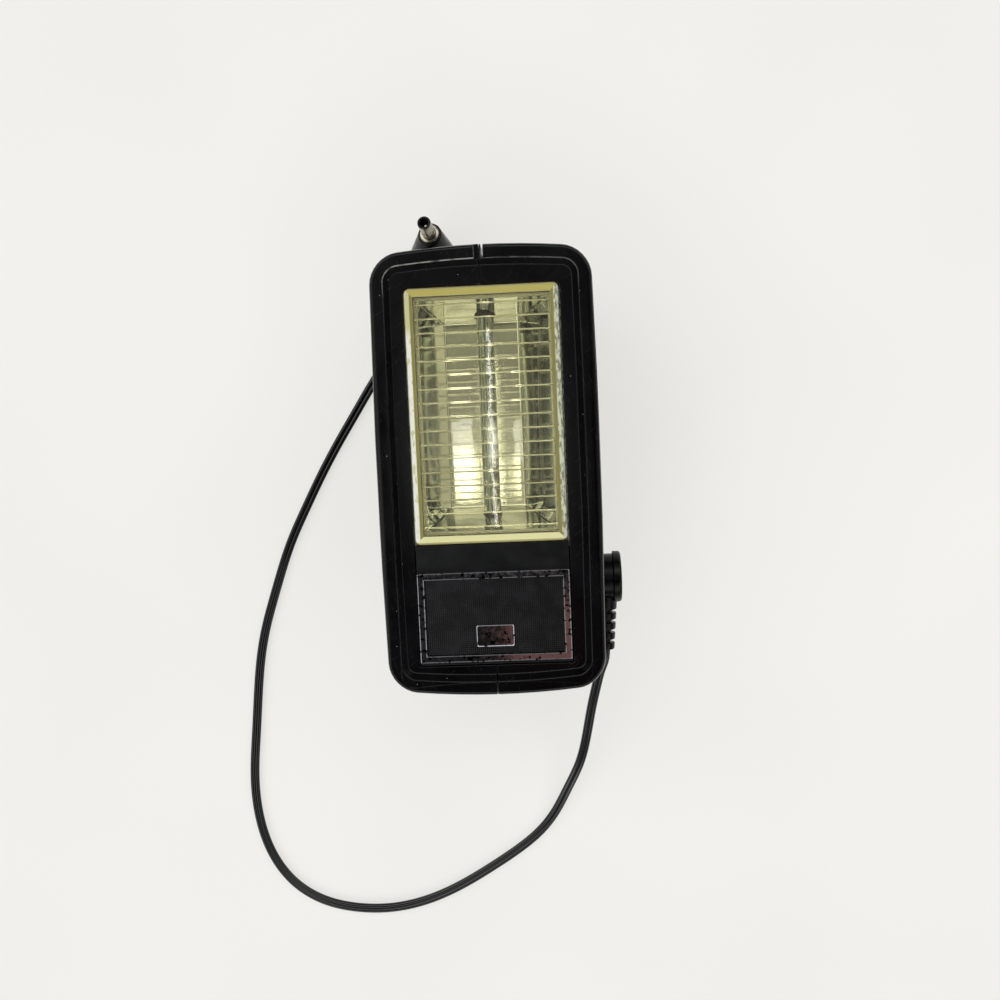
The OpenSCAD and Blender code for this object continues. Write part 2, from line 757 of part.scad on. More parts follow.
module board_resistors() color([0.75, 0.6, 0.4]) {
  in = 13;
  y = 16.4;
  pitch = 3.4;
  count = 4;
  resistor_len = 6.4;
  resistor_r = 1.2;
  for (k = [0:count - 1]) rod_under_board(in - board_right, y + pitch * k, resistor_len, resistor_r);
}

module trigger_capacitor() color([0.6, 0.15, 0.1]) {
  edge = 2.5;
  w = 5;
  l = 10;
  t = 5.5;
  under_board(board_right - edge - w, part_y, w, l, t);
}

// Ready light on the left of the upper back, and its neon lamp
module ready_lens() color([0.95, 0.45, 0.15]) on_slant() translate([-keys_x, keys_v, 0]) {
  dome = 0.7;
  translate([0, 0, -dome]) cylinder(h = back_wall + dome + key_flange_t, r = key_r);
  translate([0, 0, back_wall]) cylinder(h = key_flange_t, r = key_r + key_flange);
}

module neon_lamp() color([0.95, 0.8, 0.7]) on_slant() {
  lamp_r = 1.5;
  lamp_len = 8;
  translate([-keys_x - lamp_len / 2, keys_v, back_wall + key_flange_t + lamp_r]) rotate([0, 90, 0])
    cylinder(h = lamp_len, r = lamp_r);
}

// Power switch on the left side: the slider outside and the switch behind it
module switch_body() color([0.15, 0.15, 0.16]) {
  depth = 4.4;
  half_l = 7;
  half_h = 3;
  x = stem_end_x + slide_gap;
  mid = switch_y + switch_travel / 2;
  span_box(x, x + depth, mid - half_l, mid + half_l, switch_z - half_h, switch_z + half_h);
}

module switch_knob() color([0.2, 0.2, 0.21]) {
  x = -side_x - slide_gap;
  grooves = 5;
  pitch = 1.8;
  groove_w = 0.8;
  groove_t = 0.6;
  difference() {
    span_box(x - knob_t, x, switch_y - knob_l / 2, switch_y + knob_l / 2,
      switch_z - knob_h / 2, switch_z + knob_h / 2);
    for (k = [0:grooves - 1]) {
      y = switch_y + (k - (grooves - 1) / 2) * pitch;
      span_box(x - knob_t - over, x - knob_t + groove_t, y - groove_w / 2, y + groove_w / 2,
        switch_z - knob_h, switch_z + knob_h);
    }
  }
  span_box(x - thin, stem_end_x, switch_y - stem_l / 2, switch_y + stem_l / 2,
    switch_z - stem_h / 2, switch_z + stem_h / 2);
}

// Test button on the right of the upper back, and the leaf that it presses
key_flange_z = back_wall + slide_gap;
stem_r = 1;
stem_len = 1.1;
stem_end = key_flange_z + stem_len;
module test_button() color([0.6, 0.1, 0.08]) on_slant() translate([keys_x, keys_v, 0]) {
  proud = 0.2;
  rise = press + proud;
  translate([0, 0, -rise]) cylinder(h = key_flange_z + rise, r = key_r);
  translate([0, 0, key_flange_z]) cylinder(h = key_flange_t, r = key_r + key_flange);
  cylinder(h = stem_end, r = stem_r);
}

module button_leaf() color(brass) on_slant() {
  room = 0.1;
  t = 0.3;
  half = 2;
  reach = 3;
  foot = 2;
  z = stem_end + press + room;
  x1 = keys_x + key_r + foot;
  span_box(keys_x - reach, x1, keys_v - half, keys_v + half, z, z + t);
  span_box(x1 - t, x1, keys_v - half, keys_v + half, back_wall, z + t);
}

// Battery compartment
module battery_tray() color([0.16, 0.16, 0.17]) {
  y0 = lower_plate_y - contact_t - tray_wall;
  y1 = link_y + contact_t + tray_wall;
  out_x = tray_in_x + tray_wall;
  difference() {
    span_box(-out_x, out_x, y0, y1, back_wall, tray_top_z + tray_wall);
    span_box(-tray_in_x, tray_in_x, y0 + tray_wall, y1 - tray_wall, 0, tray_top_z);
  }
}

module cell(x, y0, turn) {
  translate([x, y0 + cell_len / 2, cell_z]) rotate([turn, 0, 0]) translate([0, 0, -cell_len / 2]) {
    cylinder(h = cell_len - nub_len, r = cell_r);
    cylinder(h = cell_len, r = nub_r);
  }
}

module battery_cell_left() color([0.7, 0.45, 0.2]) cell(-cell_x, link_y - cell_len, -90);
module battery_cell_right() color([0.7, 0.45, 0.2]) cell(cell_x, lower_plate_y, 90);

module leaf(x, y, way) {
  w = 6;
  t = 0.35;
  half = 4;
  root = 0.6;
  crest = 0.3;
  run = leaf_room - t;
  tip = y + way * leaf_room;
  translate([x - w / 2, 0, 0]) rotate([90, 0, 90]) linear_extrude(w) polygon([
    [y, cell_z - half], [y + way * run, cell_z], [y, cell_z + half], [y, cell_z + half + root],
    [tip, cell_z + crest], [tip, cell_z - crest], [y, cell_z - half - root]]);
}

module battery_link() color(bright) {
  half = cell_x + contact_half;
  span_box(-half, half, link_y, link_y + contact_t, cell_z - contact_half, cell_z + contact_half);
  leaf(cell_x, link_y, -1);
}

module battery_contacts() color(bright) {
  y = lower_plate_y;
  for (s = [-1, 1]) {
    x = s * cell_x;
    span_box(x - contact_half, x + contact_half, y - contact_t, y,
      cell_z - contact_half, cell_z + contact_half);
  }
  leaf(-cell_x, y, 1);
}

module battery_door() color(black) {
  half = door_w / 2;
  tongue_x = half + groove_depth;
  tongue_short = 1;
  grips = 6;
  grip_half = 8;
  grip_y = 4;
  grip_w = 1;
  grip_t = 0.5;
  difference() {
    span_box(-half, half, door_end, door_top, 0, door_t);
    for (k = [0:grips - 1]) {
      y = door_end + grip_y + 2 * grip_w * k;
      span_box(-grip_half, grip_half, y, y + grip_w, -over, grip_t);
    }
  }
  span_box(-tongue_x, tongue_x, door_end + tongue_short, door_top,
    groove_z0 + tongue_gap, groove_z1 - tongue_gap);
}

// Shoe foot on the lower end, its screws, and its sprung centre contact
module shoe_foot() color([0.1, 0.1, 0.105]) difference() {
  z0 = foot_z - foot_len / 2;
  z1 = foot_z + foot_len / 2;
  union() {
    span_box(-foot_w / 2, foot_w / 2, foot_end, foot_end + foot_t, z0, z1);
    span_box(-neck_w / 2, neck_w / 2, foot_end, -end_y, z0, z1);
  }
  y_rod(foot_end - over, -end_y + over, 0, foot_z, contact_dia / 2 + close_gap);
  y_rod(contact_seat_y, -end_y + over, 0, foot_z, contact_flange_r + close_gap);
  for (sx = [-1, 1], sz = [-1, 1]) {
    x = sx * foot_screw_x;
    z = foot_z + sz * foot_screw_dz;
    y_rod(foot_end - over, -end_y + over, x, z, foot_screw_r + foot_screw_gap);
    y_rod(foot_end - over, foot_end + foot_screw_sink, x, z, foot_screw_head + foot_screw_gap);
  }
}

module foot_screws() color(bright) for (sx = [-1, 1], sz = [-1, 1]) {
  x = sx * foot_screw_x;
  z = foot_z + sz * foot_screw_dz;
  slot = 0.5;
  slot_end = foot_end + foot_screw_sink / 2;
  difference() {
    union() {
      y_rod(foot_end + foot_screw_gap, foot_end + foot_screw_sink, x, z, foot_screw_head);
      y_rod(slot_end, -end_in_y, x, z, foot_screw_r);
    }
    span_box(x - slot / 2, x + slot / 2, foot_end - over, slot_end, z - foot_screw_head - over,
      z + foot_screw_head + over);
  }
}

module shoe_contact() color(brass) {
  y_rod(foot_end - contact_travel, contact_seat_y + contact_flange_t, 0, foot_z, contact_dia / 2);
  y_rod(contact_seat_y + close_gap, contact_seat_y + contact_flange_t, 0, foot_z, contact_flange_r);
}

module contact_washer() color(bright) difference() {
  room = 0.1;
  y0 = contact_seat_y + contact_flange_t + contact_travel + room;
  y_rod(y0, -end_y, 0, foot_z, contact_flange_r - slide_gap);
  y_rod(y0 - over, -end_y + over, 0, foot_z, contact_dia / 2);
}

// Screws that hold the two half shells together
module case_screws() color(bright) for (p = case_screw_places) {
  slot = 0.6;
  slot_x = screw_seat_x + screw_head_t / 2;
  half = screw_head_r + over;
  difference() {
    union() {
      x_rod(screw_seat_x, screw_seat_x + screw_head_t, p[0], p[1], screw_head_r);
      x_rod(screw_seat_x - screw_len, screw_seat_x, p[0], p[1], screw_r - screw_gap / 2);
    }
    span_box(slot_x, slot_x + big, p[0] - half, p[0] + half, p[1] - slot / 2, p[1] + slot / 2);
  }
}

// Exposure dial on the slanted back
module scale_ring() color([0.75, 0.75, 0.76]) on_slant() translate([0, dial_v, 0]) difference() {
  rise = 0.5;
  translate([0, 0, -rise]) cylinder(h = rise, r = ring_r);
  translate([0, 0, -over]) cylinder(h = 2 * over, r = dial_r + slide_gap);
}

module calculator_dial() color([0.12, 0.12, 0.13]) on_slant() translate([0, dial_v, 0]) difference() {
  notches = 24;
  notch_r = 0.8;
  notch_out = 0.35;
  translate([0, 0, -dial_rise]) cylinder(h = dial_t, r = dial_r);
  translate([0, 0, -big / 2]) cylinder(h = big, r = rivet_r + close_gap);
  for (k = [0:notches - 1])
    rotate([0, 0, 360 * k / notches]) translate([dial_r + notch_out, 0, -big / 2])
      cylinder(h = big, r = notch_r);
}

module dial_rivet() color(bright) on_slant() translate([0, dial_v, 0]) {
  head_t = 0.8;
  head_r = 3;
  tail_t = 0.8;
  tail_w = 0.9;
  room = 0.1;
  top = -dial_rise - room;
  translate([0, 0, top - head_t]) cylinder(h = head_t, r = head_r);
  translate([0, 0, top - thin]) cylinder(h = back_wall + tail_t - top + thin, r = rivet_r);
  translate([0, 0, back_wall]) cylinder(h = tail_t, r = rivet_r + tail_w);
}

// Sync jack in the right side, and the cord's plug in it
module sync_jack() color([0.14, 0.14, 0.15]) difference() {
  union() {
    x_rod(jack_in_x, side_in_x - slide_gap, jack_y, jack_z, jack_r);
    x_rod(side_in_x - over, side_at(jack_y), jack_y, jack_z, jack_neck_r);
  }
  x_rod(jack_in_x - over, side_x + over, jack_y, jack_z, pin_r + pin_gap);
}

module sync_plug_body() color(black) {
  rib_t = 1.8;
  rib_start = 1.7;
  rib_rise = 1.1;
  pitch = (relief_len - rib_start - rib_t) / (relief_ribs - 1);
  x_rod(plug_x, plug_x + plug_neck + thin, jack_y, jack_z, drum_r);
  x_rod(plug_x + plug_neck, plug_out_x, jack_y, jack_z, disc_r);
  translate([relief_x, relief_y, jack_z]) rotate([90, 0, 0])
    cylinder(h = relief_len, r1 = relief_r0 - rib_rise, r2 = relief_r1 - rib_rise);
  for (k = [0:relief_ribs - 1]) {
    y = relief_y - rib_start - pitch * k;
    y_rod(y - rib_t, k == 0 ? relief_y : y, relief_x, jack_z,
      relief_r0 + (relief_r1 - relief_r0) * k / (relief_ribs - 1));
  }
}

tip_len = 3;
ring_len = 0.6;
module sync_plug_sleeve() color(bright)
  x_rod(plug_x - pin_len + tip_len + ring_len, plug_x, jack_y, jack_z, pin_r);
module sync_plug_insulator() color([0.1, 0.1, 0.1])
  x_rod(plug_x - pin_len + tip_len, plug_x - pin_len + tip_len + ring_len, jack_y, jack_z, pin_r - close_gap);
module sync_plug_tip() color(bright) {
  x0 = plug_x - pin_len;
  nose = 1;
  x_rod(x0 + nose, x0 + tip_len, jack_y, jack_z, pin_r);
  translate([x0 + nose, jack_y, jack_z]) rotate([0, -90, 0]) cylinder(h = nose, r1 = pin_r, r2 = pin_r / 2);
}

module sync_cord() color(black) {
  n = len(cord_route);
  m = cord_sides;
  walls = [for (k = [0:n - 2], j = [0:m - 1], half = [0, 1])
    let (a = k * m + j, b = k * m + (j + 1) % m)
    half == 0 ? [a, b, b + m] : [a, b + m, a + m]];
  first = [for (j = [1:m - 2]) [0, j + 1, j]];
  last = [for (j = [1:m - 2]) [(n - 1) * m, (n - 1) * m + j, (n - 1) * m + j + 1]];
  polyhedron([for (k = [0:n - 1]) each cord_ring(k)], concat(walls, first, last));
}

// Camera plug on the far end of the cord
module on_pc_neck() translate(pc_neck) rotate([-pc_lean, -pc_left, 0]) children();

module pc_plug_body() color(black) {
  run = pc_relief_end - pc_relief_start;
  turn = atan2(run[1], run[0]);
  tilt = acos(run[2] / norm(run));
  foot = 1.4;
  neck_t = 0.8;
  hull($fn = 32) {
    translate(pc_base) cylinder(h = foot, r = pc_base_r);
    on_pc_neck() translate([0, 0, -neck_t]) cylinder(h = neck_t, r = pc_neck_r);
  }
  translate(pc_relief_start) rotate([0, tilt, turn])
    cylinder(h = norm(run), r1 = pc_relief_r0, r2 = pc_relief_r1);
}

module pc_plug_collar() color(bright) on_pc_neck() difference() {
  cylinder(h = pc_collar_t, r = pc_collar_r);
  translate([0, 0, -over]) cylinder(h = pc_collar_t + 2 * over, r = sleeve_bore / 2);
}

module pc_plug_sleeve() color(bright) on_pc_neck() translate([0, 0, pc_collar_t]) difference() {
  cylinder(h = sleeve_len, r = sleeve_dia / 2);
  translate([0, 0, -over]) cylinder(h = sleeve_len + 2 * over, r = sleeve_bore / 2);
}

module pc_plug_insulator() color([0.1, 0.1, 0.1]) on_pc_neck() difference() {
  cylinder(h = pc_collar_t + sleeve_len - insulator_drop, r = sleeve_bore / 2);
  translate([0, 0, -over]) cylinder(h = pc_collar_t + sleeve_len + over, r = pc_pin_r);
}

module pc_plug_pin() color(brass) on_pc_neck()
  cylinder(h = pc_collar_t + sleeve_len - pin_drop, r = pc_pin_r);

left_shell();
right_shell();
window_lens();
front_panel();
nameplate_frame();
nameplate_insert();
nameplate_badge();
reflector();
flash_tube();
tube_electrodes();
tube_grommets();
trigger_wire();
circuit_board();
flash_capacitor();
transformer_core();
transformer_winding();
trigger_coil();
oscillator_transistor();
board_resistors();
trigger_capacitor();
neon_lamp();
ready_lens();
switch_body();
switch_knob();
test_button();
button_leaf();
battery_tray();
battery_cell_left();
battery_cell_right();
battery_link();
battery_contacts();
battery_door();
shoe_foot();
foot_screws();
shoe_contact();
contact_washer();
case_screws();
scale_ring();
calculator_dial();
dial_rivet();
sync_jack();
sync_plug_body();
sync_plug_sleeve();
sync_plug_insulator();
sync_plug_tip();
sync_cord();
pc_plug_body();
pc_plug_collar();
pc_plug_sleeve();
pc_plug_insulator();
pc_plug_pin();
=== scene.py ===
# %% [markdown]
# # A compact flash for a camera's shoe
# The flash lies on its back on a white cloth, with its sync cord round it. Its solids come from the CAD
# model as a fixed frame, in metres. This lesson dresses that frame: each step says what a piece or a finish
# is on the real flash, how it could be made in Blender, and why one way was chosen.

# %% Load the frame
import json
import math

import bmesh
import bpy
import numpy as np
from mathutils import Matrix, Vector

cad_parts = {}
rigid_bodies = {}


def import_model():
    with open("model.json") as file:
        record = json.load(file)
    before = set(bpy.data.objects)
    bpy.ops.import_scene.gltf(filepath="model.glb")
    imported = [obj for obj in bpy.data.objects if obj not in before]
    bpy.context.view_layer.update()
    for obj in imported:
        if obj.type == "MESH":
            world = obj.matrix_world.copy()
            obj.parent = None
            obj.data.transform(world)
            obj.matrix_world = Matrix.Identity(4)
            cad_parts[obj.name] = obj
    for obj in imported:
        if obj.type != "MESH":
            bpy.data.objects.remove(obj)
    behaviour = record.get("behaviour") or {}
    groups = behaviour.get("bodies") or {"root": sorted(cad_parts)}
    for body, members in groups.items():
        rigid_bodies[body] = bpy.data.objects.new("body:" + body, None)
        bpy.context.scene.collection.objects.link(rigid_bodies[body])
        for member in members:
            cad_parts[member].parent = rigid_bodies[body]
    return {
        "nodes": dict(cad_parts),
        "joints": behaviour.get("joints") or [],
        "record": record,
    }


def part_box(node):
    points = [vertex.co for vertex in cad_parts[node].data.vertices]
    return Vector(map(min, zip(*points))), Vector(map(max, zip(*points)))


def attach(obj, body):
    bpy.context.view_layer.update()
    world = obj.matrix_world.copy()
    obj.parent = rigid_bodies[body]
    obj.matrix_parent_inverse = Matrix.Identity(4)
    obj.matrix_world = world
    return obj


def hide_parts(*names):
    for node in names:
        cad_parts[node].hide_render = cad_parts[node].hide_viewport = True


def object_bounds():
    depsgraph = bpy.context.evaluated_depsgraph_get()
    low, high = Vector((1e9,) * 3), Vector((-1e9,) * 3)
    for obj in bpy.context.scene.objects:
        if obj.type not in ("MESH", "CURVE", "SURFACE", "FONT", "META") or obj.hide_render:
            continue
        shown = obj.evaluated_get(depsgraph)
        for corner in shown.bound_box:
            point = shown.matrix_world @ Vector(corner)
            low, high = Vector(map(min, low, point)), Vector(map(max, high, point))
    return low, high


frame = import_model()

CAD_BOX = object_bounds()
MM = 0.001
NODES = frame["nodes"]
RECORD = frame["record"]
BODY_OF = {node: body for body, nodes in RECORD["behaviour"]["bodies"].items() for node in nodes}
SLOT_OF = {part["node"]: part["material_slot"] for part in RECORD["subparts"]}
bpy.context.scene.view_settings.view_transform = "Standard"

# %% [markdown]
# ## The camera
# The photograph looks almost straight down. The pose was worked out from the straight edges of the flash's
# front: three directions of the camera and its place in millimetres, in the frame of the part. A matrix set
# from those directions is exact, where a camera that tracks a target would lose the small roll.

# %% Camera
CAMERA_PLACE = np.array([16.51, 13.42, 306.42])
CAMERA_RIGHT = np.array([0.99787, -0.04315, -0.04888])
CAMERA_UP = np.array([0.03929, 0.99623, -0.07735])
CAMERA_AHEAD = np.array([-0.05203, -0.07527, -0.9958])
FOCAL_LENGTH = 39.6
SENSOR_WIDTH = 36
NEAREST = 10
SHOWN = bpy.context.scene.collection.objects
camera = bpy.data.objects.new("camera", bpy.data.cameras.new("camera"))
camera.data.lens = FOCAL_LENGTH
camera.data.sensor_width = SENSOR_WIDTH
camera.data.clip_start = NEAREST * MM
pose = np.eye(4)
pose[:3] = np.stack([CAMERA_RIGHT, CAMERA_UP, -CAMERA_AHEAD, CAMERA_PLACE * MM], axis=1)
camera.matrix_world = Matrix(pose.tolist())
SHOWN.link(camera)
bpy.context.scene.camera = camera
print("camera", round(camera.location.z / MM), "mm up")

# %% [markdown]
# ## Surfaces from arrays
# Nearly every new piece here is a grid of points: a profile turned round an axis, carried along a path, or
# stretched between four corners. Modelling by hand would do as well, but a formula is exact and can be
# read. One function turns grids into a mesh and welds the points that coincide, which closes seams and
# poles.

# %% Grids to meshes
WELD = 2e-4


def unit(vectors):
    """Each vector divided by its own length."""
    vectors = np.asarray(vectors, float)
    return vectors / np.linalg.norm(vectors, axis=-1, keepdims=True)


def welded(mesh):
    """Merge the points that coincide, and turn the faces outwards."""
    shape = bmesh.new()
    shape.from_mesh(mesh)
    bmesh.ops.remove_doubles(shape, verts=shape.verts, dist=WELD * MM)
    bmesh.ops.recalc_face_normals(shape, faces=shape.faces)
    shape.to_mesh(mesh)
    shape.free()


def grid_mesh(name, *sheets, smooth_under=40):
    """One mesh from sheets of points, each rows by columns by xyz in millimetres: quads join neighbouring
    points, and a corner's place on its sheet, 0 to 1 both ways, is its UV. Bends sharper than smooth_under
    degrees stay sharp."""
    points, quads, places = [], [], []
    first = 0
    for sheet in sheets:
        rows, columns = sheet.shape[:2]
        i, j = np.meshgrid(np.arange(rows - 1), np.arange(columns - 1), indexing="ij")
        i = i.reshape(-1, 1) + [0, 1, 1, 0]
        j = j.reshape(-1, 1) + [0, 0, 1, 1]
        quads.append(first + i * columns + j)
        places.append(np.stack([i / (rows - 1), j / (columns - 1)], -1).reshape(-1, 2))
        points.append(sheet.reshape(-1, 3) * MM)
        first += rows * columns
    mesh = bpy.data.meshes.new(name)
    mesh.from_pydata(np.concatenate(points).tolist(), [], np.concatenate(quads).tolist())
    layer = mesh.uv_layers.new(name="UVMap")
    layer.data.foreach_set("uv", np.concatenate(places).astype(np.float32).ravel())
    welded(mesh)
    mesh.shade_smooth()
    mesh.set_sharp_from_angle(angle=math.radians(smooth_under))
    return mesh


print("a unit step along (3, 4, 0) is", unit([3, 4, 0]))

# %% [markdown]
# ## Finishes as node trees
# A finish is a Principled shader with patterns on its sockets. Colours are written as sRGB hex and turned
# to linear by one function, pattern sizes are written in millimetres, and one small function adds a node
# and its links. Inputs come in the order in which the node shows them: a Map Range takes a value, the range
# that it comes from and the range that it goes to, and a Mix takes a share and two colours. Each finish
# belongs to a slot of the part's record, so the solids and the new pieces find theirs by name.

# %% Colours and nodes
def linear(hex_colour):
    """An sRGB hex colour as linear red, green and blue with full alpha."""
    srgb = np.array([int(hex_colour[k:k + 2], 16) for k in (1, 3, 5)]) / 255
    light = np.where(srgb <= 0.04045, srgb / 12.92, ((srgb + 0.055) / 1.055) ** 2.4)
    return (*light.tolist(), 1.0)


def add(tree, kind, inputs=(), to=None, **settings):
    """A node of that kind with its settings. Its inputs come in order, or by name in a dict: each is a
    constant, a hex colour, a socket, or a node, which stands for its first output. Its own output may go to a
    socket."""
    node = tree.nodes.new("ShaderNode" + kind)
    for name, value in settings.items():
        setattr(node, name, value)
    if isinstance(inputs, dict):
        pairs = [(node.inputs[name], value) for name, value in inputs.items()]
    else:
        pairs = list(zip([socket for socket in node.inputs if socket.enabled], inputs))
    if to is not None:
        pairs.append((to, node))
    for socket, value in pairs:
        if isinstance(value, bpy.types.Node):
            value = next(output for output in value.outputs if output.enabled)
        if isinstance(value, bpy.types.NodeSocket):
            tree.links.new(value, socket)
        else:
            socket.default_value = linear(value) if isinstance(value, str) else value
    return node


print("a middle grey of #808080 is", round(linear("#808080")[0], 3), "in linear light")

# %% Finishes and who wears them
FINISHES = {}


def new_finish(slot, **constants):
    """A new material for a slot: its tree and its shader's sockets, with the constants set on those."""
    material = bpy.data.materials.new(slot)
    material.use_nodes = True
    FINISHES[slot] = material
    skin = material.node_tree.nodes["Principled BSDF"].inputs
    for name, value in constants.items():
        skin[name.replace("_", " ")].default_value = value
    return material.node_tree, skin


def dress(piece, slot, body, *replaced):
    """Give a piece the finish of a slot and its body, and hide the nodes that it replaces."""
    if isinstance(piece, bpy.types.Mesh):
        piece = bpy.data.objects.new(piece.name, piece)
    SHOWN.link(piece)
    piece.data.materials.append(FINISHES[slot])
    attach(piece, body)
    if replaced:
        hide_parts(*replaced)
    return piece


print(len(set(SLOT_OF.values())), "slots wait for a finish")

# %% [markdown]
# ## The sync cord
# The cord is a flat twin lead of soft black PVC, two round cores side by side, 2.6 mm wide and 1.4 mm
# thick. The photograph shows all of it: out of the strain relief, round on the cloth and under the flash to
# the camera plug. A Blender curve with a bevel would do, but its section would roll. Here the section is
# carried along a cubic spline through the route's own points with its flat side kept level, as a lead lies
# on a table.

# %% The cord's route
CORD_STEP = 1.2
CORD_ROUTE = [
    [27.5, -48.2, 21.2], [27.2, -51, 20.8], [26.3, -53.8, 19.6], [25.2, -58, 17.6], [23.7, -65, 14.2],
    [21.8, -75.6, 9.4], [19.6, -84.2, 5.4], [16.3, -91.6, 2.8], [12.1, -99.4, 1.4], [7.5, -105, 0.8],
    [2.3, -109.2, 0.8], [-5.3, -114.2, 0.8], [-14.6, -119.6, 0.8], [-24.8, -124, 0.8], [-34.9, -126.2, 0.8],
    [-46, -126, 0.8], [-55.7, -123.4, 0.8], [-63.7, -118, 0.8], [-69.6, -109.4, 0.8], [-72.8, -98.2, 0.8],
    [-73.4, -86.4, 0.8], [-72.2, -73.6, 0.8], [-70.8, -60.8, 0.8], [-69.4, -51.2, 0.8], [-67.4, -42.8, 0.8],
    [-65.2, -36, 0.8], [-62.4, -28, 0.8], [-59.2, -19.8, 0.8], [-54.3, -10, 0.8], [-49.2, -0.6, 0.8],
    [-43.8, 8.4, 0.8], [-38.6, 16.4, 0.8], [-34, 23.4, 0.8], [-29.8, 29.4, 0.8], [-25.6, 35, 0.8],
    [-22.2, 39, 0.9], [-19.6, 42.4, 1.3], [-18.4, 45.4, 1.9]]


def splined(route, step):
    """Points every step millimetres or so on the natural cubic spline through a route, by chord length: the
    second derivatives m solve h0 m0 + 2 (h0 + h1) m1 + h1 m2 = 6 (d1 - d0) at each inner point, and are none
    at the ends."""
    p = np.array(route, float)
    h = np.linalg.norm(np.diff(p, axis=0), axis=1)
    d = np.diff(p, axis=0) / h[:, None]
    rows = np.eye(len(p))
    inner = np.arange(1, len(p) - 1)
    rows[inner, inner - 1] = h[:-1]
    rows[inner, inner] = 2 * (h[:-1] + h[1:])
    rows[inner, inner + 1] = h[1:]
    bend = np.zeros_like(p)
    bend[1:-1] = 6 * np.diff(d, axis=0)
    m = np.linalg.solve(rows, bend)
    knots = np.concatenate([[0], np.cumsum(h)])
    s = np.linspace(0, knots[-1], int(knots[-1] / step))
    k = np.clip(np.searchsorted(knots, s, side="right") - 1, 0, len(h) - 1)
    t = (s - knots[k])[:, None]
    hk = h[k][:, None]
    slope = d[k] - hk * (2 * m[k] + m[k + 1]) / 6
    return p[k] + slope * t + m[k] * t ** 2 / 2 + (m[k + 1] - m[k]) * t ** 3 / (6 * hk)


cord_path = splined(CORD_ROUTE, CORD_STEP)

# %% The cord's PVC
# Soft PVC: black, glossy, with faint lengthwise drag marks from the extruder. There are so many marks along
# the cord and round it that each is about 8 mm long and 0.1 mm wide.
DRAG_MARKS = (40, 60, 1)
tree, skin = new_finish("cord_pvc", IOR=1.53)
drag = add(tree, "Mapping", {"Vector": add(tree, "TexCoord").outputs["UV"], "Scale": DRAG_MARKS})
lines = add(tree, "TexNoise", (drag, 1, 2))
add(tree, "MapRange", (lines, 0, 1, 0.05, 0.14), to=skin["Roughness"])
add(tree, "Mix", (lines, "#040405", "#0A0A0B"), to=skin["Base Color"], data_type="RGBA")
print("cord's PVC made of", len(tree.nodes), "nodes")

# %% The cord's section
CORD_W = 2.6
CORD_T = 1.4
CORD_SIDES = 36


def twin_lead(path, width, thick, sides):
    """Two round cores side by side carried along a path, closed at both ends: x = width / 2 cos a, and y the
    height of the core's circle there, with x level across the path."""
    r = thick / 2
    a = np.linspace(0, 2 * np.pi, sides + 1)
    a[-1] = 0
    x = width / 2 * np.cos(a)
    y = np.sign(np.sin(a)) * np.sqrt(np.maximum(r ** 2 - (np.abs(x) - (width / 2 - r)) ** 2, 0))
    along = unit(np.gradient(path, axis=0))
    across = unit(np.cross(along, [0, 0, 1]))
    above = np.cross(across, along)
    tube = path[:, None] + x[None, :, None] * across[:, None] + y[None, :, None] * above[:, None]
    start = np.broadcast_to(path[0], tube[:1].shape)
    end = np.broadcast_to(path[-1], tube[:1].shape)
    return np.concatenate([start, tube, end])


cord = dress(grid_mesh("twin_lead", twin_lead(cord_path, CORD_W, CORD_T, CORD_SIDES)),
             "cord_pvc", "sync_lead", "sync_cord")
print("cord of", len(cord.data.polygons), "faces")

# %% [markdown]
# ## The moulded plug of the cord
# The cord ends in a right-angle plug, moulded in one piece: a drum on the flash's side with a broader outer
# disc, and a tapered strain relief with five ribs. Both are profiles turned about an axis, because the
# mould was turned too. The edges are eased, as soft PVC comes out of a mould. Its colour and gloss drift in
# soft blotches, with a grain over them. One function makes such a finish, since most materials here differ
# only in the values.

# %% Profiles turned about an axis
def span(node):
    """A node's lowest and highest corner in millimetres."""
    low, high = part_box(node)
    return np.array(low) / MM, np.array(high) / MM


def eased(corners, cut, steps):
    """A line through corners, each rounded off: with a and b at the distance cut before and after the corner c,
    the bend is (1 - t)^2 a + 2 t (1 - t) c + t^2 b."""
    p = np.array(corners, float)
    cut = np.broadcast_to(np.asarray(cut, float), len(p) - 2)[:, None]
    a = p[1:-1] + cut * unit(p[:-2] - p[1:-1])
    b = p[1:-1] + cut * unit(p[2:] - p[1:-1])
    t = np.linspace(0, 1, steps + 1)[None, :, None]
    bends = (1 - t) ** 2 * a[:, None] + 2 * t * (1 - t) * p[1:-1, None] + t ** 2 * b[:, None]
    return np.concatenate([p[:1], bends.reshape(-1, p.shape[1]), p[-1:]])


def turned(profile, origin, axis, turns):
    """A profile of (radius, height) turned about an axis: origin + height * axis + radius * (cos a, sin a)
    across."""
    axis = unit(axis)
    across = unit(np.cross(axis, unit(axis[[1, 2, 0]] + [0.3, 0.5, 0.7])))
    beside = np.cross(axis, across)
    a = np.linspace(0, 2 * np.pi, turns + 1)
    a[-1] = 0
    ring = np.cos(a)[:, None] * across + np.sin(a)[:, None] * beside
    radius, height = np.array(profile, float).T
    return np.array(origin, float) + height[:, None, None] * axis + radius[:, None, None] * ring


plug_low, plug_high = span("sync_plug_body")
print("plug", np.round(plug_high - plug_low, 1), "mm")

# %% Drifting finishes, and the plug's PVC
# Noise mostly lies between these two values.
NOISE_SPAN = (0.35, 0.65)


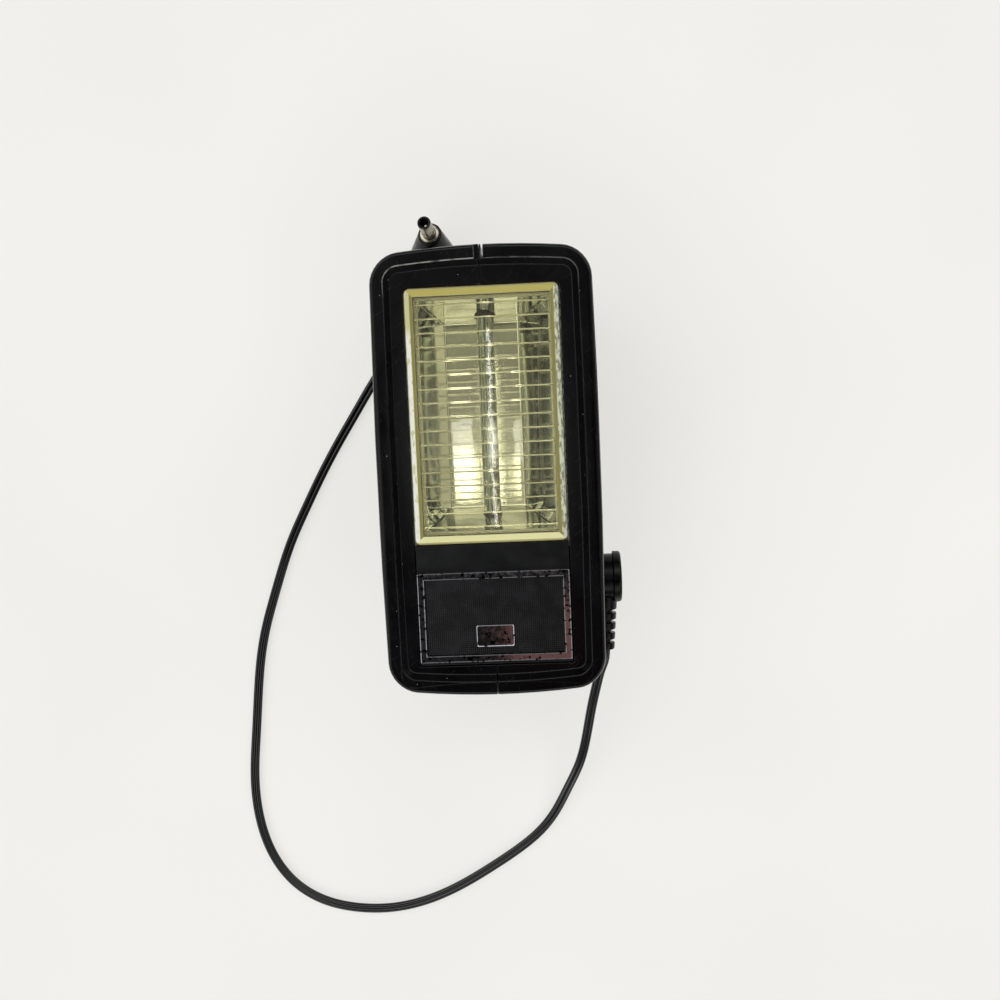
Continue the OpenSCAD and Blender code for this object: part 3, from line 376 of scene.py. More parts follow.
def blotches(tree, size, stretch=(1, 1, 1), turn=0, detail=2):
    """Noise whose blotches are size millimetres across, times stretch along x, y and z, turned about z."""
    mapped = add(tree, "Mapping", {
        "Vector": add(tree, "TexCoord").outputs["Object"],
        "Rotation": (0, 0, math.radians(turn)),
        "Scale": [size * MM * s for s in stretch]}, vector_type="TEXTURE")
    return add(tree, "TexNoise", (mapped, 1, detail))


def mottled(slot, dark, light, size, rough, grain=None, stretch=(1, 1, 1), **constants):
    """A finish whose colour and roughness drift between two values in blotches of a size, with an optional
    grain, a pair of its size and its depth, all in millimetres."""
    tree, skin = new_finish(slot, **constants)
    drift = blotches(tree, size, stretch)
    level = add(tree, "MapRange", (drift, *NOISE_SPAN))
    add(tree, "Mix", (level, dark, light), to=skin["Base Color"], data_type="RGBA")
    add(tree, "MapRange", (drift, *NOISE_SPAN, *rough), to=skin["Roughness"])
    if grain:
        fine = blotches(tree, grain[0], stretch)
        add(tree, "Bump", {"Height": fine, "Distance": grain[1] * MM}, to=skin["Normal"])


# Moulded PVC: black with a satin skin, greyed where hands rub it.
mottled("plug_pvc", "#040405", "#0A0A0B", 3.0, (0.22, 0.36), (0.25, 0.01), IOR=1.53, Specular_IOR_Level=0.15)
print("plug's PVC made of", len(FINISHES["plug_pvc"].node_tree.nodes), "nodes")

# %% Drum
DISC_T = 2.1
DISC_R = 6.6
DRUM_R = 6.0
DISH_R = 4.6
DISH_D = 0.35
drum_y = plug_high[1] - DISC_R
drum_z = (plug_low[2] + plug_high[2]) / 2
drum_len = plug_high[0] - plug_low[0]
drum_profile = eased(
    [[0, 0], [DRUM_R, 0], [DRUM_R, drum_len - DISC_T], [DISC_R, drum_len - DISC_T], [DISC_R, drum_len],
     [DISH_R, drum_len], [DISH_R - DISH_D, drum_len - DISH_D], [0, drum_len - DISH_D]],
    [0.5, 0.2, 0.2, 0.9, 0.3, 0.3], 6)
drum = dress(grid_mesh("plug_drum", turned(drum_profile, [plug_low[0], drum_y, drum_z], [1, 0, 0], 72)),
             "plug_pvc", "sync_lead", "sync_plug_body")
print("plug drum", round(drum_len, 1), "mm deep")

# %% Strain relief
RELIEF_X = plug_low[0] + 3.6
RELIEF_LEN = 14
RELIEF_RIBS = 5
RELIEF_R = (3.6, 2.4)
RIB_RISE = 1.1
RIB_T = 1.8
RIB_START = 1.7


def ribbed_taper(length, ribs, radii, rise, first, thick, round_off):
    """A tapering profile with ribs: each rib rises by rise from the core to the taper and is thick long. The
    first starts at first with the full radius before it, and the last ends the profile. Corners are eased by
    round_off."""
    starts = first + np.arange(ribs) * (length - first - thick) / (ribs - 1)
    h = starts[:, None] + [0, 0, thick, thick]
    r = radii[0] + (radii[1] - radii[0]) * h / length - rise * np.array([1, 0, 0, 1])
    ribbed = np.stack([r, h], -1).reshape(-1, 2)[1:-1]
    return eased(np.concatenate([[[0, 0], [radii[0], 0]], ribbed, [[0, length]]]), round_off, 4)


relief_profile = ribbed_taper(RELIEF_LEN, RELIEF_RIBS, RELIEF_R, RIB_RISE, RIB_START, RIB_T, 0.3)
relief_top = [RELIEF_X, plug_low[1] + RELIEF_LEN, drum_z]
relief = dress(grid_mesh("plug_relief", turned(relief_profile, relief_top, [0, -1, 0], 48)),
               "plug_pvc", "sync_lead", "sync_plug_body")
print("strain relief with", RELIEF_RIBS, "ribs")

# %% [markdown]
# ## The camera plug
# The far end is a camera's sync plug: a moulded body that stands flat on its base and narrows to a leaning
# neck, a metal collar, and a metal sleeve round a centre pin, lined with black plastic. The sleeve points
# up at the camera that took the picture, so its mouth has to be a true hole. The metal is turned on the
# neck's axis, and the body is a stack of rings that lean over step by step.

# %% Body
PC_BASE = np.array([-15, 57.2, 0.1])
PC_NECK = np.array([-14.4, 62.3, 12.3])
PC_LEAN = math.radians(13)
PC_LEFT = math.radians(4.5)
PC_AXIS = np.array([-math.cos(PC_LEAN) * math.sin(PC_LEFT), math.sin(PC_LEAN),
                    math.cos(PC_LEAN) * math.cos(PC_LEFT)])
FOOT_R = 6.4
FOOT_T = 1.4
NECK_R = (3.3, 3.15)
NECK_T = 0.8


def leaning(profile, base, neck, axis, turns):
    """A profile of (radius, height) from a level base to a neck on an axis: with t = height / total, a ring's
    middle is (1 - t) base + t neck, and it lies square to the direction (1 - t) upward + t axis."""
    radius, height = np.array(profile, float).T
    t = (height / height.max())[:, None]
    middle = (1 - t) * base + t * neck
    upward = unit((1 - t) * np.array([0, 0, 1.0]) + t * axis)
    across = unit(np.cross([0, 1.0, 0], upward))
    beside = np.cross(upward, across)
    a = np.linspace(0, 2 * np.pi, turns + 1)
    a[-1] = 0
    ring = np.cos(a)[:, None] * across[:, None] + np.sin(a)[:, None] * beside[:, None]
    return middle[:, None] + radius[:, None, None] * ring


body_run = np.linalg.norm(PC_NECK - PC_BASE)
cone_profile = eased(
    [[0, 0], [FOOT_R, 0], [FOOT_R, FOOT_T], [NECK_R[0], body_run - NECK_T], [NECK_R[1], body_run],
     [0, body_run]], [0.5, 0.9, 0.3, 0.3], 6)
cone = dress(grid_mesh("camera_plug_body", leaning(cone_profile, PC_BASE, PC_NECK, PC_AXIS, 72)),
             "plug_pvc", "sync_lead", "pc_plug_body")
print("camera plug", round(body_run, 1), "mm to its neck, which leans", round(math.degrees(PC_LEAN)), "degrees")

# %% Its own strain relief
TAIL_START = np.array([-15.2, 55.4, 3.6])
TAIL_RIBS = 3
TAIL_R = (2.5, 1.6)
TAIL_RISE = 0.3
TAIL_RIB_START = 5.4
TAIL_RIB_T = 1.2
tail_way = np.array(CORD_ROUTE[-1]) - TAIL_START
tail_profile = ribbed_taper(
    np.linalg.norm(tail_way), TAIL_RIBS, TAIL_R, TAIL_RISE, TAIL_RIB_START, TAIL_RIB_T, 0.15)
tail = dress(grid_mesh("camera_plug_relief", turned(tail_profile, TAIL_START, tail_way, 40)),
             "plug_pvc", "sync_lead", "pc_plug_body")
print("its relief", round(np.linalg.norm(tail_way), 1), "mm long")

# %% Metal and lining
# Nickel-plated brass: worn to a brownish yellow, with turning marks round it and tarnish.
mottled("plug_steel", "#7E786A", "#B8B2A2", 1.4, (0.16, 0.34), (0.12, 0.004), Metallic=1.0)
# Black phenolic: moulded, dull, nearly without gloss.
mottled("epoxy_black", "#060607", "#0C0C0D", 1.5, (0.4, 0.55), (0.2, 0.015), IOR=1.55,
        Specular_IOR_Level=0.25)
COLLAR_T = 0.9
COLLAR_R = 2.55
SLEEVE_LEN = 7
SLEEVE_R = 1.75
SLEEVE_BORE = 1.35
MOUTH_T = 0.2
LIP_R = SLEEVE_R - 0.03
LINING_R = (1.2, 1.05)
LINING_FLOOR = 4.9
PIN_R = 0.5
PIN_LEN = 5.9
mouth = COLLAR_T + SLEEVE_LEN
collar_profile = eased(
    [[SLEEVE_R, 0], [COLLAR_R, 0], [COLLAR_R, COLLAR_T], [SLEEVE_R, COLLAR_T], [SLEEVE_R, 0]],
    [0.1, 0.35, 0.1], 5)
sleeve_profile = eased(
    [[SLEEVE_BORE, COLLAR_T], [SLEEVE_R, COLLAR_T], [SLEEVE_R, mouth - MOUTH_T],
     [SLEEVE_BORE, mouth - MOUTH_T], [SLEEVE_BORE, COLLAR_T]], [0.05, 0.08, 0.05], 3)
lining_profile = eased(
    [[PIN_R, 0], [SLEEVE_BORE, 0], [SLEEVE_BORE, mouth - MOUTH_T], [LIP_R, mouth - MOUTH_T], [LIP_R, mouth],
     [LINING_R[0], mouth], [LINING_R[1], LINING_FLOOR], [PIN_R, LINING_FLOOR], [PIN_R, 0]],
    [0.02, 0.02, 0.02, 0.1, 0.15, 0.05, 0.02], 3)
pin_profile = eased([[0, 0], [PIN_R, 0], [PIN_R, PIN_LEN], [0, PIN_LEN]], [0.1, 0.3], 4)
print("sleeve bore", 2 * SLEEVE_BORE, "mm, mouth", round(mouth, 1), "mm over the neck")

# %% Collar, sleeve, lining and pin
collar, sleeve, lining, pin = (
    dress(grid_mesh("camera_plug_" + name, turned(profile, PC_NECK, PC_AXIS, turns)), slot, "sync_lead", node)
    for name, profile, turns, slot, node in (
        ("collar", collar_profile, 56, "plug_steel", "pc_plug_collar"),
        ("sleeve", sleeve_profile, 48, "plug_steel", "pc_plug_sleeve"),
        ("lining", lining_profile, 48, "epoxy_black", "pc_plug_insulator"),
        ("pin", pin_profile, 24, "plug_steel", "pc_plug_pin")))
print("turned", collar.name, sleeve.name, lining.name, pin.name)

# %% [markdown]
# ## The moulded case
# The case is two half shells of black ABS, parted along the middle. Their solids already have the right
# form, down to the notch and the slot at the top, so they aren't modelled again. A solid's edges are
# mathematically sharp, though, and moulded edges never are: a copy of the mesh is welded, its flat faces
# are joined again, and a narrow bevel takes the edge off, so that it catches the light as a thin line. Wear,
# and a painted highlight on the rim's ridge, are painted by masks, 0 to 1 over the surface, and the largest
# of them shares out the colour.

# %% Black ABS, rubbed and scratched
# Moulded ABS: a deep black with a satin sheen. Years in a bag leave hair scratches, rubbed patches and
# dust.
tree, skin = new_finish("shell_abs", IOR=1.5, Specular_IOR_Level=0.25)
rub = blotches(tree, 9, detail=4)
body_black = add(tree, "Mix", (rub, "#030304", "#060609"), data_type="RGBA")
add(tree, "MapRange", (rub, 0.3, 0.7, 0.13, 0.24), to=skin["Roughness"])
leather = blotches(tree, 0.4)
add(tree, "Bump", {"Height": leather, "Distance": 0.006 * MM}, to=skin["Normal"])


def scratches(tree, width, length, turn, share):
    """Thin streaks of that width and length in millimetres, 0 to 1, where a stretched noise is in its top
    share."""
    streak = blotches(tree, width, (length / width, 1, length / width), turn, detail=1)
    return add(tree, "MapRange", (streak, 1 - share, 1.03 - share))


one_way = scratches(tree, 0.16, 5, 35, 0.29)
other_way = scratches(tree, 0.14, 3.5, 110, 0.29)
hairs = add(tree, "Math", (one_way, other_way), operation="MAXIMUM")
hairs = add(tree, "Math", (hairs, 0.06), operation="MULTIPLY")
print("ABS with scratches made of", len(tree.nodes), "nodes")

# %% Dust
# Grains of about 0.2 mm, coarser than real ones so that they show in the picture. A few of the cells of a
# pattern have one in the middle.
DUST_PITCH = 2.4
cells = add(tree, "TexVoronoi", {
    "Vector": add(tree, "TexCoord").outputs["Object"], "Scale": 1 / (DUST_PITCH * MM)}).outputs
grains = add(tree, "MapRange", (cells["Distance"], 0.055, 0.035))
draw = add(tree, "SeparateColor", (cells["Color"],))
chosen = add(tree, "Math", (draw, 0.62), operation="GREATER_THAN")
dust = add(tree, "Math", (grains, chosen), operation="MULTIPLY")
print("dust every", DUST_PITCH, "mm at most")

# %% Pale ridge: wear and a painted highlight
# The ridge between the rim and its inner slope is painted pale at the top: partly rubbed wear, partly a
# painted highlight of its edge. It is a rounded rectangle: with q the part of (|x|, y) past the middle of its
# corner, it lies where |q| is the corner's radius. Its ends are crowned, so y gets x * x * CROWN back. A short
# mark runs up the notch's edge, which is also partly wear and partly a painted highlight.
RIDGE_MID = (20.0, 48.0)
RIDGE_R = 3.6
CROWN = 2.3
NOTCH_X = -1.2
front_z = CAD_BOX[1].z / MM


def spot_on(tree):
    """The x, y and z of the point that is shaded, as sockets, in metres."""
    return add(tree, "SeparateXYZ", (add(tree, "TexCoord").outputs["Object"],)).outputs


def past_middle(tree, value, middle, half):
    """How far a coordinate lies past half of a length that is centred on middle, in metres."""
    off = add(tree, "Math", (value, middle * MM), operation="SUBTRACT")
    distance = add(tree, "Math", (off,), operation="ABSOLUTE")
    return add(tree, "Math", (distance, half * MM), operation="SUBTRACT")


spot = spot_on(tree)
square = add(tree, "Math", (spot["X"], spot["X"]), operation="MULTIPLY")
crowned = add(tree, "Math", (square, CROWN, spot["Y"]), operation="MULTIPLY_ADD")
beyond = [add(tree, "Math", (past_middle(tree, value, 0, middle), 0.0), operation="MAXIMUM")
          for value, middle in zip((spot["X"], crowned), RIDGE_MID)]
corner = add(tree, "VectorMath", (add(tree, "CombineXYZ", beyond),), operation="LENGTH")
ridge_wear_highlight = add(tree, "MapRange", (past_middle(tree, corner, RIDGE_R, 0), 0.18 * MM, 0.1 * MM))
notch_wear_highlight = add(tree, "MapRange", (past_middle(tree, spot["X"], NOTCH_X, 0), 0.16 * MM, 0.1 * MM))
print("ridge_wear_highlight", 2 * (RIDGE_MID[0] + RIDGE_R), "mm wide")

# %% Where the ridge is painted pale: it fades away from the top, and is weaker right of the notch
on_rim = add(tree, "MapRange", (spot["Z"], (front_z - 0.4) * MM, (front_z - 0.25) * MM))
broken = add(tree, "MapRange", (blotches(tree, 2.2, detail=3), 0.36, 0.52, 0.2, 1.0))
towards_top = add(tree, "MapRange", (spot["Y"], 43 * MM, 49.5 * MM, 0.05, 1.0))
left_half = add(tree, "MapRange", (spot["X"], (NOTCH_X - 0.1) * MM, NOTCH_X * MM, 1.0, 0.3))
in_notch = add(tree, "MapRange", (spot["Y"], 51.4 * MM, 51.6 * MM, 0.0, 0.6))
for share in (on_rim, broken, towards_top, left_half):
    ridge_wear_highlight = add(tree, "Math", (ridge_wear_highlight, share), operation="MULTIPLY")
for share in (on_rim, in_notch):
    notch_wear_highlight = add(tree, "Math", (notch_wear_highlight, share), operation="MULTIPLY")
# One pale colour covers the real hair scratches and dust, and the ridge and notch lines, which are partly wear
# and partly a painted highlight.
marks = hairs
for mask in (dust, ridge_wear_highlight, notch_wear_highlight):
    marks = add(tree, "Math", (marks, mask), operation="MAXIMUM")
add(tree, "Mix", (marks, body_black, "#8F8D88"), to=skin["Base Color"], data_type="RGBA")
print("worn ABS made of", len(tree.nodes), "nodes")

# %% Case halves with their edges taken off
SOLID_WELD = 0.001
FLAT_UNDER = 0.5
EDGE_OVER = 30


def softened(node, name, edge, steps=2):
    """A welded copy of a node's mesh, with its edges over EDGE_OVER degrees bevelled by edge millimetres."""
    shape = bmesh.new()
    shape.from_mesh(NODES[node].data)
    bmesh.ops.remove_doubles(shape, verts=shape.verts, dist=SOLID_WELD * MM)
    bmesh.ops.dissolve_limit(
        shape, angle_limit=math.radians(FLAT_UNDER), verts=shape.verts, edges=shape.edges)
    mesh = bpy.data.meshes.new(name)
    shape.to_mesh(mesh)
    shape.free()
    if "custom_normal" in mesh.attributes:
        mesh.attributes.remove(mesh.attributes["custom_normal"])
    mesh.shade_smooth()
    piece = bpy.data.objects.new(name, mesh)
    bevel = piece.modifiers.new("edge", "BEVEL")
    bevel.width = edge * MM
    bevel.segments = steps
    bevel.limit_method = "ANGLE"
    bevel.angle_limit = math.radians(EDGE_OVER)
    bevel.use_clamp_overlap = False
    bevel.miter_outer = "MITER_ARC"
    even = piece.modifiers.new("even", "WEIGHTED_NORMAL")
    even.keep_sharp = True
    return dress(piece, SLOT_OF[node], BODY_OF[node], node)


CASE_EDGE = 0.2
left_case = softened("left_shell", "left_case", CASE_EDGE)
right_case = softened("right_shell", "right_case", CASE_EDGE)
print("case halves", len(left_case.data.polygons), "and", len(right_case.data.polygons), "faces")

# %% [markdown]
# ## The panel and the chromed plate
# Below the window a matt black panel carries a plate. Its frame is chromed plastic with two raised lips and
# a channel between them: a profile carried round a rectangle. A picture of the hatching would do for its
# field, but real facets catch the light one by one: the field is a grid of tiny pyramids. A small chromed
# badge sits on it.

# %% Panel
# Moulded ABS with a fine spark-eroded texture, which makes it matt beside the case.
mottled("panel_abs", "#060708", "#0B0C0D", 5, (0.3, 0.42), (0.22, 0.012), IOR=1.5, Specular_IOR_Level=0.3)
PANEL_EDGE = 0.18
panel = softened("front_panel", "front_panel_moulded", PANEL_EDGE)
print("panel", len(panel.data.polygons), "faces")

# %% Chromed plastic
# Chromed plastic: a hard bright mirror, hazed by handling and worn through to the dark plastic in places.
tree, skin = new_finish("bright_chrome", Metallic=1.0)
haze = blotches(tree, 0.9, detail=3)
add(tree, "MapRange", (haze, 0.3, 0.7, 0.03, 0.12), to=skin["Roughness"])
worn = add(tree, "MapRange", (blotches(tree, 1.1, detail=4), 0.56, 0.62))
chrome = add(tree, "Mix", (haze, "#ABABB1", "#D0CFD4"), data_type="RGBA")
add(tree, "Mix", (worn, chrome, "#2A2827"), to=skin["Base Color"], data_type="RGBA")
print("chrome made of", len(tree.nodes), "nodes")

# %% Frame with two lips
PLATE_BAND = 1.7
PLATE_CORNER = 0.35
LIP_START, LIP_CREST, LIP_END, CHANNEL = 0.02, 0.11, 0.2, 0.24
LIP_RISE = 0.06
STEP = 0.16
INNER_EDGE = 0.35


def framed(low, high, profile, corner, steps):
    """A profile of (inset, height over the floor) carried round a box whose corners have a radius: each corner
    is an arc of that radius less the inset about its own centre, and the sides join the arcs."""
    half_w, half_h = (high - low)[:2] / 2
    inset, height = np.array(profile, float).T
    turn = np.radians(np.add.outer([0, 90, 180, 270], np.linspace(0, 90, steps + 1))).ravel()
    sx = np.repeat([1, -1, -1, 1], steps + 1)
    sy = np.repeat([1, 1, -1, -1], steps + 1)
    radius = np.maximum(corner - inset, 0)[:, None]
    reach = np.maximum(inset, corner)[:, None]
    x = sx * np.maximum(half_w - reach, 0) + radius * np.cos(turn)
    y = sy * np.maximum(half_h - reach, 0) + radius * np.sin(turn)
    ring = np.stack([x, y, np.broadcast_to(height[:, None], x.shape)], -1)
    ring = ring + np.array([*(low + high)[:2] / 2, low[2]])
    return np.concatenate([ring, ring[:, :1]], axis=1)


plate_low, plate_high = span("nameplate_frame")
rise = plate_high[2] - plate_low[2]
lip = np.array([[LIP_START, rise - LIP_RISE], [LIP_CREST, rise], [LIP_END, rise - LIP_RISE],
                [CHANNEL, rise - STEP]])
inner_lip = [PLATE_BAND, 0] + lip[::-1] * [-1, 1]
lips = np.concatenate([[[0, 0]], lip, inner_lip, [[PLATE_BAND, INNER_EDGE], [PLATE_BAND, 0], [0, 0]]])
plate_frame = grid_mesh("plate_frame", framed(plate_low, plate_high, lips, PLATE_CORNER, 3), smooth_under=10)
dress(plate_frame, "bright_chrome", "housing", "nameplate_frame")
print("plate", np.round((plate_high - plate_low)[:2], 1), "mm")

# %% Cross-hatched field
# Moulded ABS with a diamond-cut look. The real pitch is 0.43 mm, drawn as 0.5 mm so that it shows.
mottled("insert_black", "#060608", "#0B0B0F", 4, (0.2, 0.32), IOR=1.5, Specular_IOR_Level=0.3)
HATCH = 0.5
HATCH_D = 0.07
FIELD_T = 0.2


def pyramids(low, high, pitch, depth):
    """A rectangle of small pyramids: points every half pitch, high where both indices are odd and low
    elsewhere."""
    nx, ny = (np.round((high - low)[:2] / pitch).astype(int) * 2 + 1).tolist()
    x = np.linspace(low[0], high[0], nx)
    y = np.linspace(low[1], high[1], ny)
    odd = np.outer(np.arange(nx) % 2, np.arange(ny) % 2)
    z = high[2] - depth * (1 - odd)
    return np.stack([*np.meshgrid(x, y, indexing="ij"), z], -1)


field = grid_mesh("plate_field", pyramids(*span("nameplate_insert"), HATCH, HATCH_D), smooth_under=5)
field = dress(field, "insert_black", "housing", "nameplate_insert")
wall = field.modifiers.new("thickness", "SOLIDIFY")
wall.thickness = FIELD_T * MM
wall.offset = -1
print("field of", len(field.data.polygons), "facets")

# %% Badge
BADGE_CORNER = 0.6
BADGE_LIP_END, BADGE_FIELD = 0.22, 0.26
badge_low, badge_high = span("nameplate_badge")
tall = badge_high[2] - badge_low[2]
lip_z = 0.85 * tall
field_z = 0.5 * tall
badge_middle = (badge_high - badge_low)[1] / 2
badge_top = [[0, 0], [LIP_START, lip_z], [LIP_CREST, tall], [BADGE_LIP_END, lip_z], [BADGE_FIELD, field_z],
             [badge_middle, field_z]]
badge_under = [[badge_middle, 0], [0, 0]]
badge = grid_mesh("plate_badge", *(
    framed(badge_low, badge_high, profile, BADGE_CORNER, 5) for profile in (badge_top, badge_under)),
    smooth_under=10)
dress(badge, "bright_chrome", "housing", "nameplate_badge")
print("badge", np.round((badge_high - badge_low)[:2], 1), "mm")

# %% [markdown]
# ## The window lens
# The window is a clear plastic box moulding, yellowed with age, with fine V-shaped ribs across its inner
# face. The polished face refracts, and its yellow sits in the volume, where it deepens with the length of
# the way. Glass alone would make the walls black, though, because they would only mirror the dark case. The
# real walls and ribs were left as the mould made them and scatter light, so there the surface turns hazy.
# The walls also take a tone by their place, worked out from the same lengths as the solid, with painted
# light and shade in it: bright patches, glints and a darker upper end.

# %% Clear face
# Aged polycarbonate: clear, refracting, faintly rippled by the mould; its blue goes over a few millimetres.
YELLOWING = 120.0
tree, skin = new_finish("lens_polycarbonate", Roughness=0.02, IOR=1.49)
ripple = blotches(tree, 5, (2, 1, 1))
add(tree, "Bump", {"Height": ripple, "Distance": 0.012 * MM}, to=skin["Normal"])
add(tree, "VolumeAbsorption", ("#FBF559", YELLOWING), to=tree.nodes["Material Output"].inputs["Volume"])
print("clear face made of", len(tree.nodes), "nodes")

# %% Where the walls are
LENS_LIP = 1.6
LENS_WALL = 2.2
lens_low, lens_high = span("window_lens")
lens_mid = (lens_high + lens_low) / 2
lens_half = (lens_high - lens_low) / 2 - LENS_LIP
clear_half = lens_half - LENS_WALL
spot = spot_on(tree)
past_side = past_middle(tree, spot["X"], lens_mid[0], clear_half[0])
past_end = past_middle(tree, spot["Y"], lens_mid[1], clear_half[1])
past_clear = add(tree, "Math", (past_side, past_end), operation="MAXIMUM")
hazy = add(tree, "MapRange", (past_clear, 0.05 * MM, 0.25 * MM))
on_side = add(tree, "Math", (past_side, past_end), operation="GREATER_THAN")
on_right = add(tree, "Math", (spot["X"], lens_mid[0] * MM), operation="GREATER_THAN")
on_upper = add(tree, "Math", (spot["Y"], lens_mid[1] * MM), operation="GREATER_THAN")
print("lens", np.round(2 * lens_half[:2], 1), "mm, clear over", np.round(2 * clear_half[:2], 1), "mm")

# %% Tones of the walls, with painted light and shade
# The ends are yellow, duller at their outer edge; the upper end is painted darker and the lower one paler,
# as painted shade and light. The sides are dark yellow inside and paler outside: the left one painted
# bright, with painted patches of light in its lower part, the right one painted dimmer, with painted glints.
end_edge = add(tree, "MapRange", (past_end, 1.55 * MM, 1.75 * MM))
end_tone = add(tree, "Mix", (on_upper, "#F6F3B4", "#C6BB68"), data_type="RGBA")
end_tone = add(tree, "Mix", (end_edge, end_tone, "#B3AB74"), data_type="RGBA")
# Painted patches of light on the lower part of the left wall, and painted glints on the right wall.
lower_part = add(tree, "MapRange", (spot["Y"], 36 * MM, 33 * MM))
patches = add(tree, "MapRange", (blotches(tree, 0.8, (1, 3, 1), detail=3), 0.36, 0.46))
painted_light_patches = add(tree, "Math", (lower_part, patches), operation="MULTIPLY")
left_tone = add(tree, "Mix", (painted_light_patches, "#DAD6A6", "#FFFFF2"), data_type="RGBA")
painted_glints = add(tree, "MapRange", (blotches(tree, 0.5, (1, 3, 1), detail=3), 0.4, 0.55))
right_tone = add(tree, "Mix", (painted_glints, "#8B8D6E", "#DDE0C8"), data_type="RGBA")
side_tone = add(tree, "Mix", (on_right, left_tone, right_tone), data_type="RGBA")
outside = add(tree, "MapRange", (past_side, 0.85 * MM, 1.0 * MM))
side_tone = add(tree, "Mix", (outside, "#928B46", side_tone), data_type="RGBA")
wall_tone_and_painted_light = add(tree, "Mix", (on_side, end_tone, side_tone), data_type="RGBA")
print("walls made of", len(tree.nodes), "nodes")

# %% Hazy ribs
# The ribs under the face are hazy too, and paler.
LENS_T = 2.0
RIB_HAZE = 0.75
LEAST_CLEAR = 0.15
face_under = lens_high[2] - LENS_T
on_rib = add(tree, "MapRange", (spot["Z"], (face_under - 0.04) * MM, (face_under - 0.14) * MM))
clear_tone = add(tree, "Mix", (on_rib, "#FDFDF6", "#FFFCDC"), data_type="RGBA")
add(tree, "Mix", (hazy, clear_tone, wall_tone_and_painted_light), to=skin["Base Color"], data_type="RGBA")
rib_haze = add(tree, "Math", (on_rib, RIB_HAZE), operation="MULTIPLY")
haze = add(tree, "Math", (hazy, rib_haze), operation="MAXIMUM")
add(tree, "MapRange", (haze, 0, 1, 1.0, LEAST_CLEAR), to=skin["Transmission Weight"])
print("lens made of", len(tree.nodes), "nodes")

# %% Lens shape
# Only the outer edges of the top are rounded, because a bevel on each rib would blunt it.
LENS_EDGE = 0.5
lens = softened("window_lens", "ribbed_lens", LENS_EDGE, 4)
points = np.empty(3 * len(lens.data.vertices))
lens.data.vertices.foreach_get("co", points)
points = points.reshape(-1, 3) / MM
pairs = np.empty(2 * len(lens.data.edges), int)
lens.data.edges.foreach_get("vertices", pairs)
first, second = pairs.reshape(-1, 2).T
on_top = np.isclose(points[:, 2], lens_high[2], atol=0.02)
outer = on_top[first] & on_top[second]
weights = lens.data.attributes.new("bevel_weight_edge", "FLOAT", "EDGE")
weights.data.foreach_set("value", outer.astype(np.float32))
lens.modifiers["edge"].limit_method = "WEIGHT"
lens.modifiers.remove(lens.modifiers["even"])
lens.data.set_sharp_from_angle(angle=math.radians(EDGE_OVER))
print("lens with", int(outer.sum()), "edges rounded")

# %% [markdown]
# ## The reflector and the tube
# Behind the lens a folded sheet of bright aluminium throws the light forward: a floor, two long slopes and
# two short ends. A box would reflect like a perfect mirror. The real sheet was rolled and bent by hand
# tools, so each panel is a grid stretched between its four corners, the slopes and ends swell slightly, and
# the floor lies a degree out of level.

# %% Rolled aluminium
# Anodised rolled sheet: a soft mirror, streaked along its rolling direction. Fine lines across the sheet
# smear what it mirrors lengthwise. Its flange under the lens's walls is covered by white felt paper, which
# lights them.
sheet_low, sheet_high = span("reflector")
tree, skin = new_finish("reflector_aluminium")
streaks = blotches(tree, 0.7, (1, 40, 40), detail=3)
rolled = add(tree, "MapRange", (streaks, 0.3, 0.7, 0.02, 0.07))
felt = add(tree, "MapRange", (
    spot_on(tree)["Z"], (sheet_high[2] - 0.5) * MM, (sheet_high[2] - 0.3) * MM))
add(tree, "Math", (rolled, felt), to=skin["Roughness"], operation="MAXIMUM")
add(tree, "Math", (1.0, felt), to=skin["Metallic"], operation="SUBTRACT")
add(tree, "Mix", (felt, "#DCDCD6", "#F6F5F0"), to=skin["Base Color"], data_type="RGBA")
brushed = blotches(tree, 0.17, (14, 1, 1))
add(tree, "Bump", {"Height": brushed, "Distance": 0.0022 * MM}, to=skin["Normal"])
print("aluminium made of", len(tree.nodes), "nodes")

# %% Points of the reflector
SHEET_T = 0.6
SKIRT_T = 2.2
FLOOR_HALF = 9.75
FLOOR_MID = -1.4
END_RUN = 5
OUT_OF_LEVEL = math.radians(1)
FLANGE_GAP = 0.15
middle_y = (sheet_low[1] + sheet_high[1]) / 2
out = (sheet_high - sheet_low)[:2] / 2
rim = out - SKIRT_T
floor_end = rim[1] - END_RUN
floor_z = sheet_low[2] + SHEET_T
rim_z = sheet_high[2] - FLANGE_GAP


def floor_at(x, s):
    """A point of the floor's end s at x, lowered or raised by the floor's tilt."""
    return [x, middle_y + s * floor_end, floor_z - s * floor_end * math.tan(OUT_OF_LEVEL)]


def ring_at(size, x_share, s):
    """A point of the rim or the flange, a rectangle of that half size, at a share of its width and end s."""
    return [x_share * size[0], middle_y + s * size[1], rim_z]


print("floor", 2 * FLOOR_HALF, "x", round(2 * floor_end, 1), "mm, rim", np.round(2 * rim, 1), "mm")

# %% Folded panels
ACROSS = 18
ALONG = 64
UP_END = 10
SLOPE_SWELL = 0.15
END_SWELL = 0.1


def panel_grid(a, b, c, d, rows, columns, swell=0.0):
    """Points between four corners, (1-u)(1-v) a + u(1-v) b + uv c + (1-u)v d, pushed along the panel's normal
    by swell * sin(pi u)^2 sin(pi v)."""
    a, b, c, d = (np.array(corner, float) for corner in (a, b, c, d))
    u = np.linspace(0, 1, rows)[:, None, None]
    v = np.linspace(0, 1, columns)[None, :, None]
    flat = (1 - u) * (1 - v) * a + u * (1 - v) * b + u * v * c + (1 - u) * v * d
    push = swell * np.sin(np.pi * u) ** 2 * np.sin(np.pi * v)
    return flat + push * unit(np.cross(b - a, d - a))


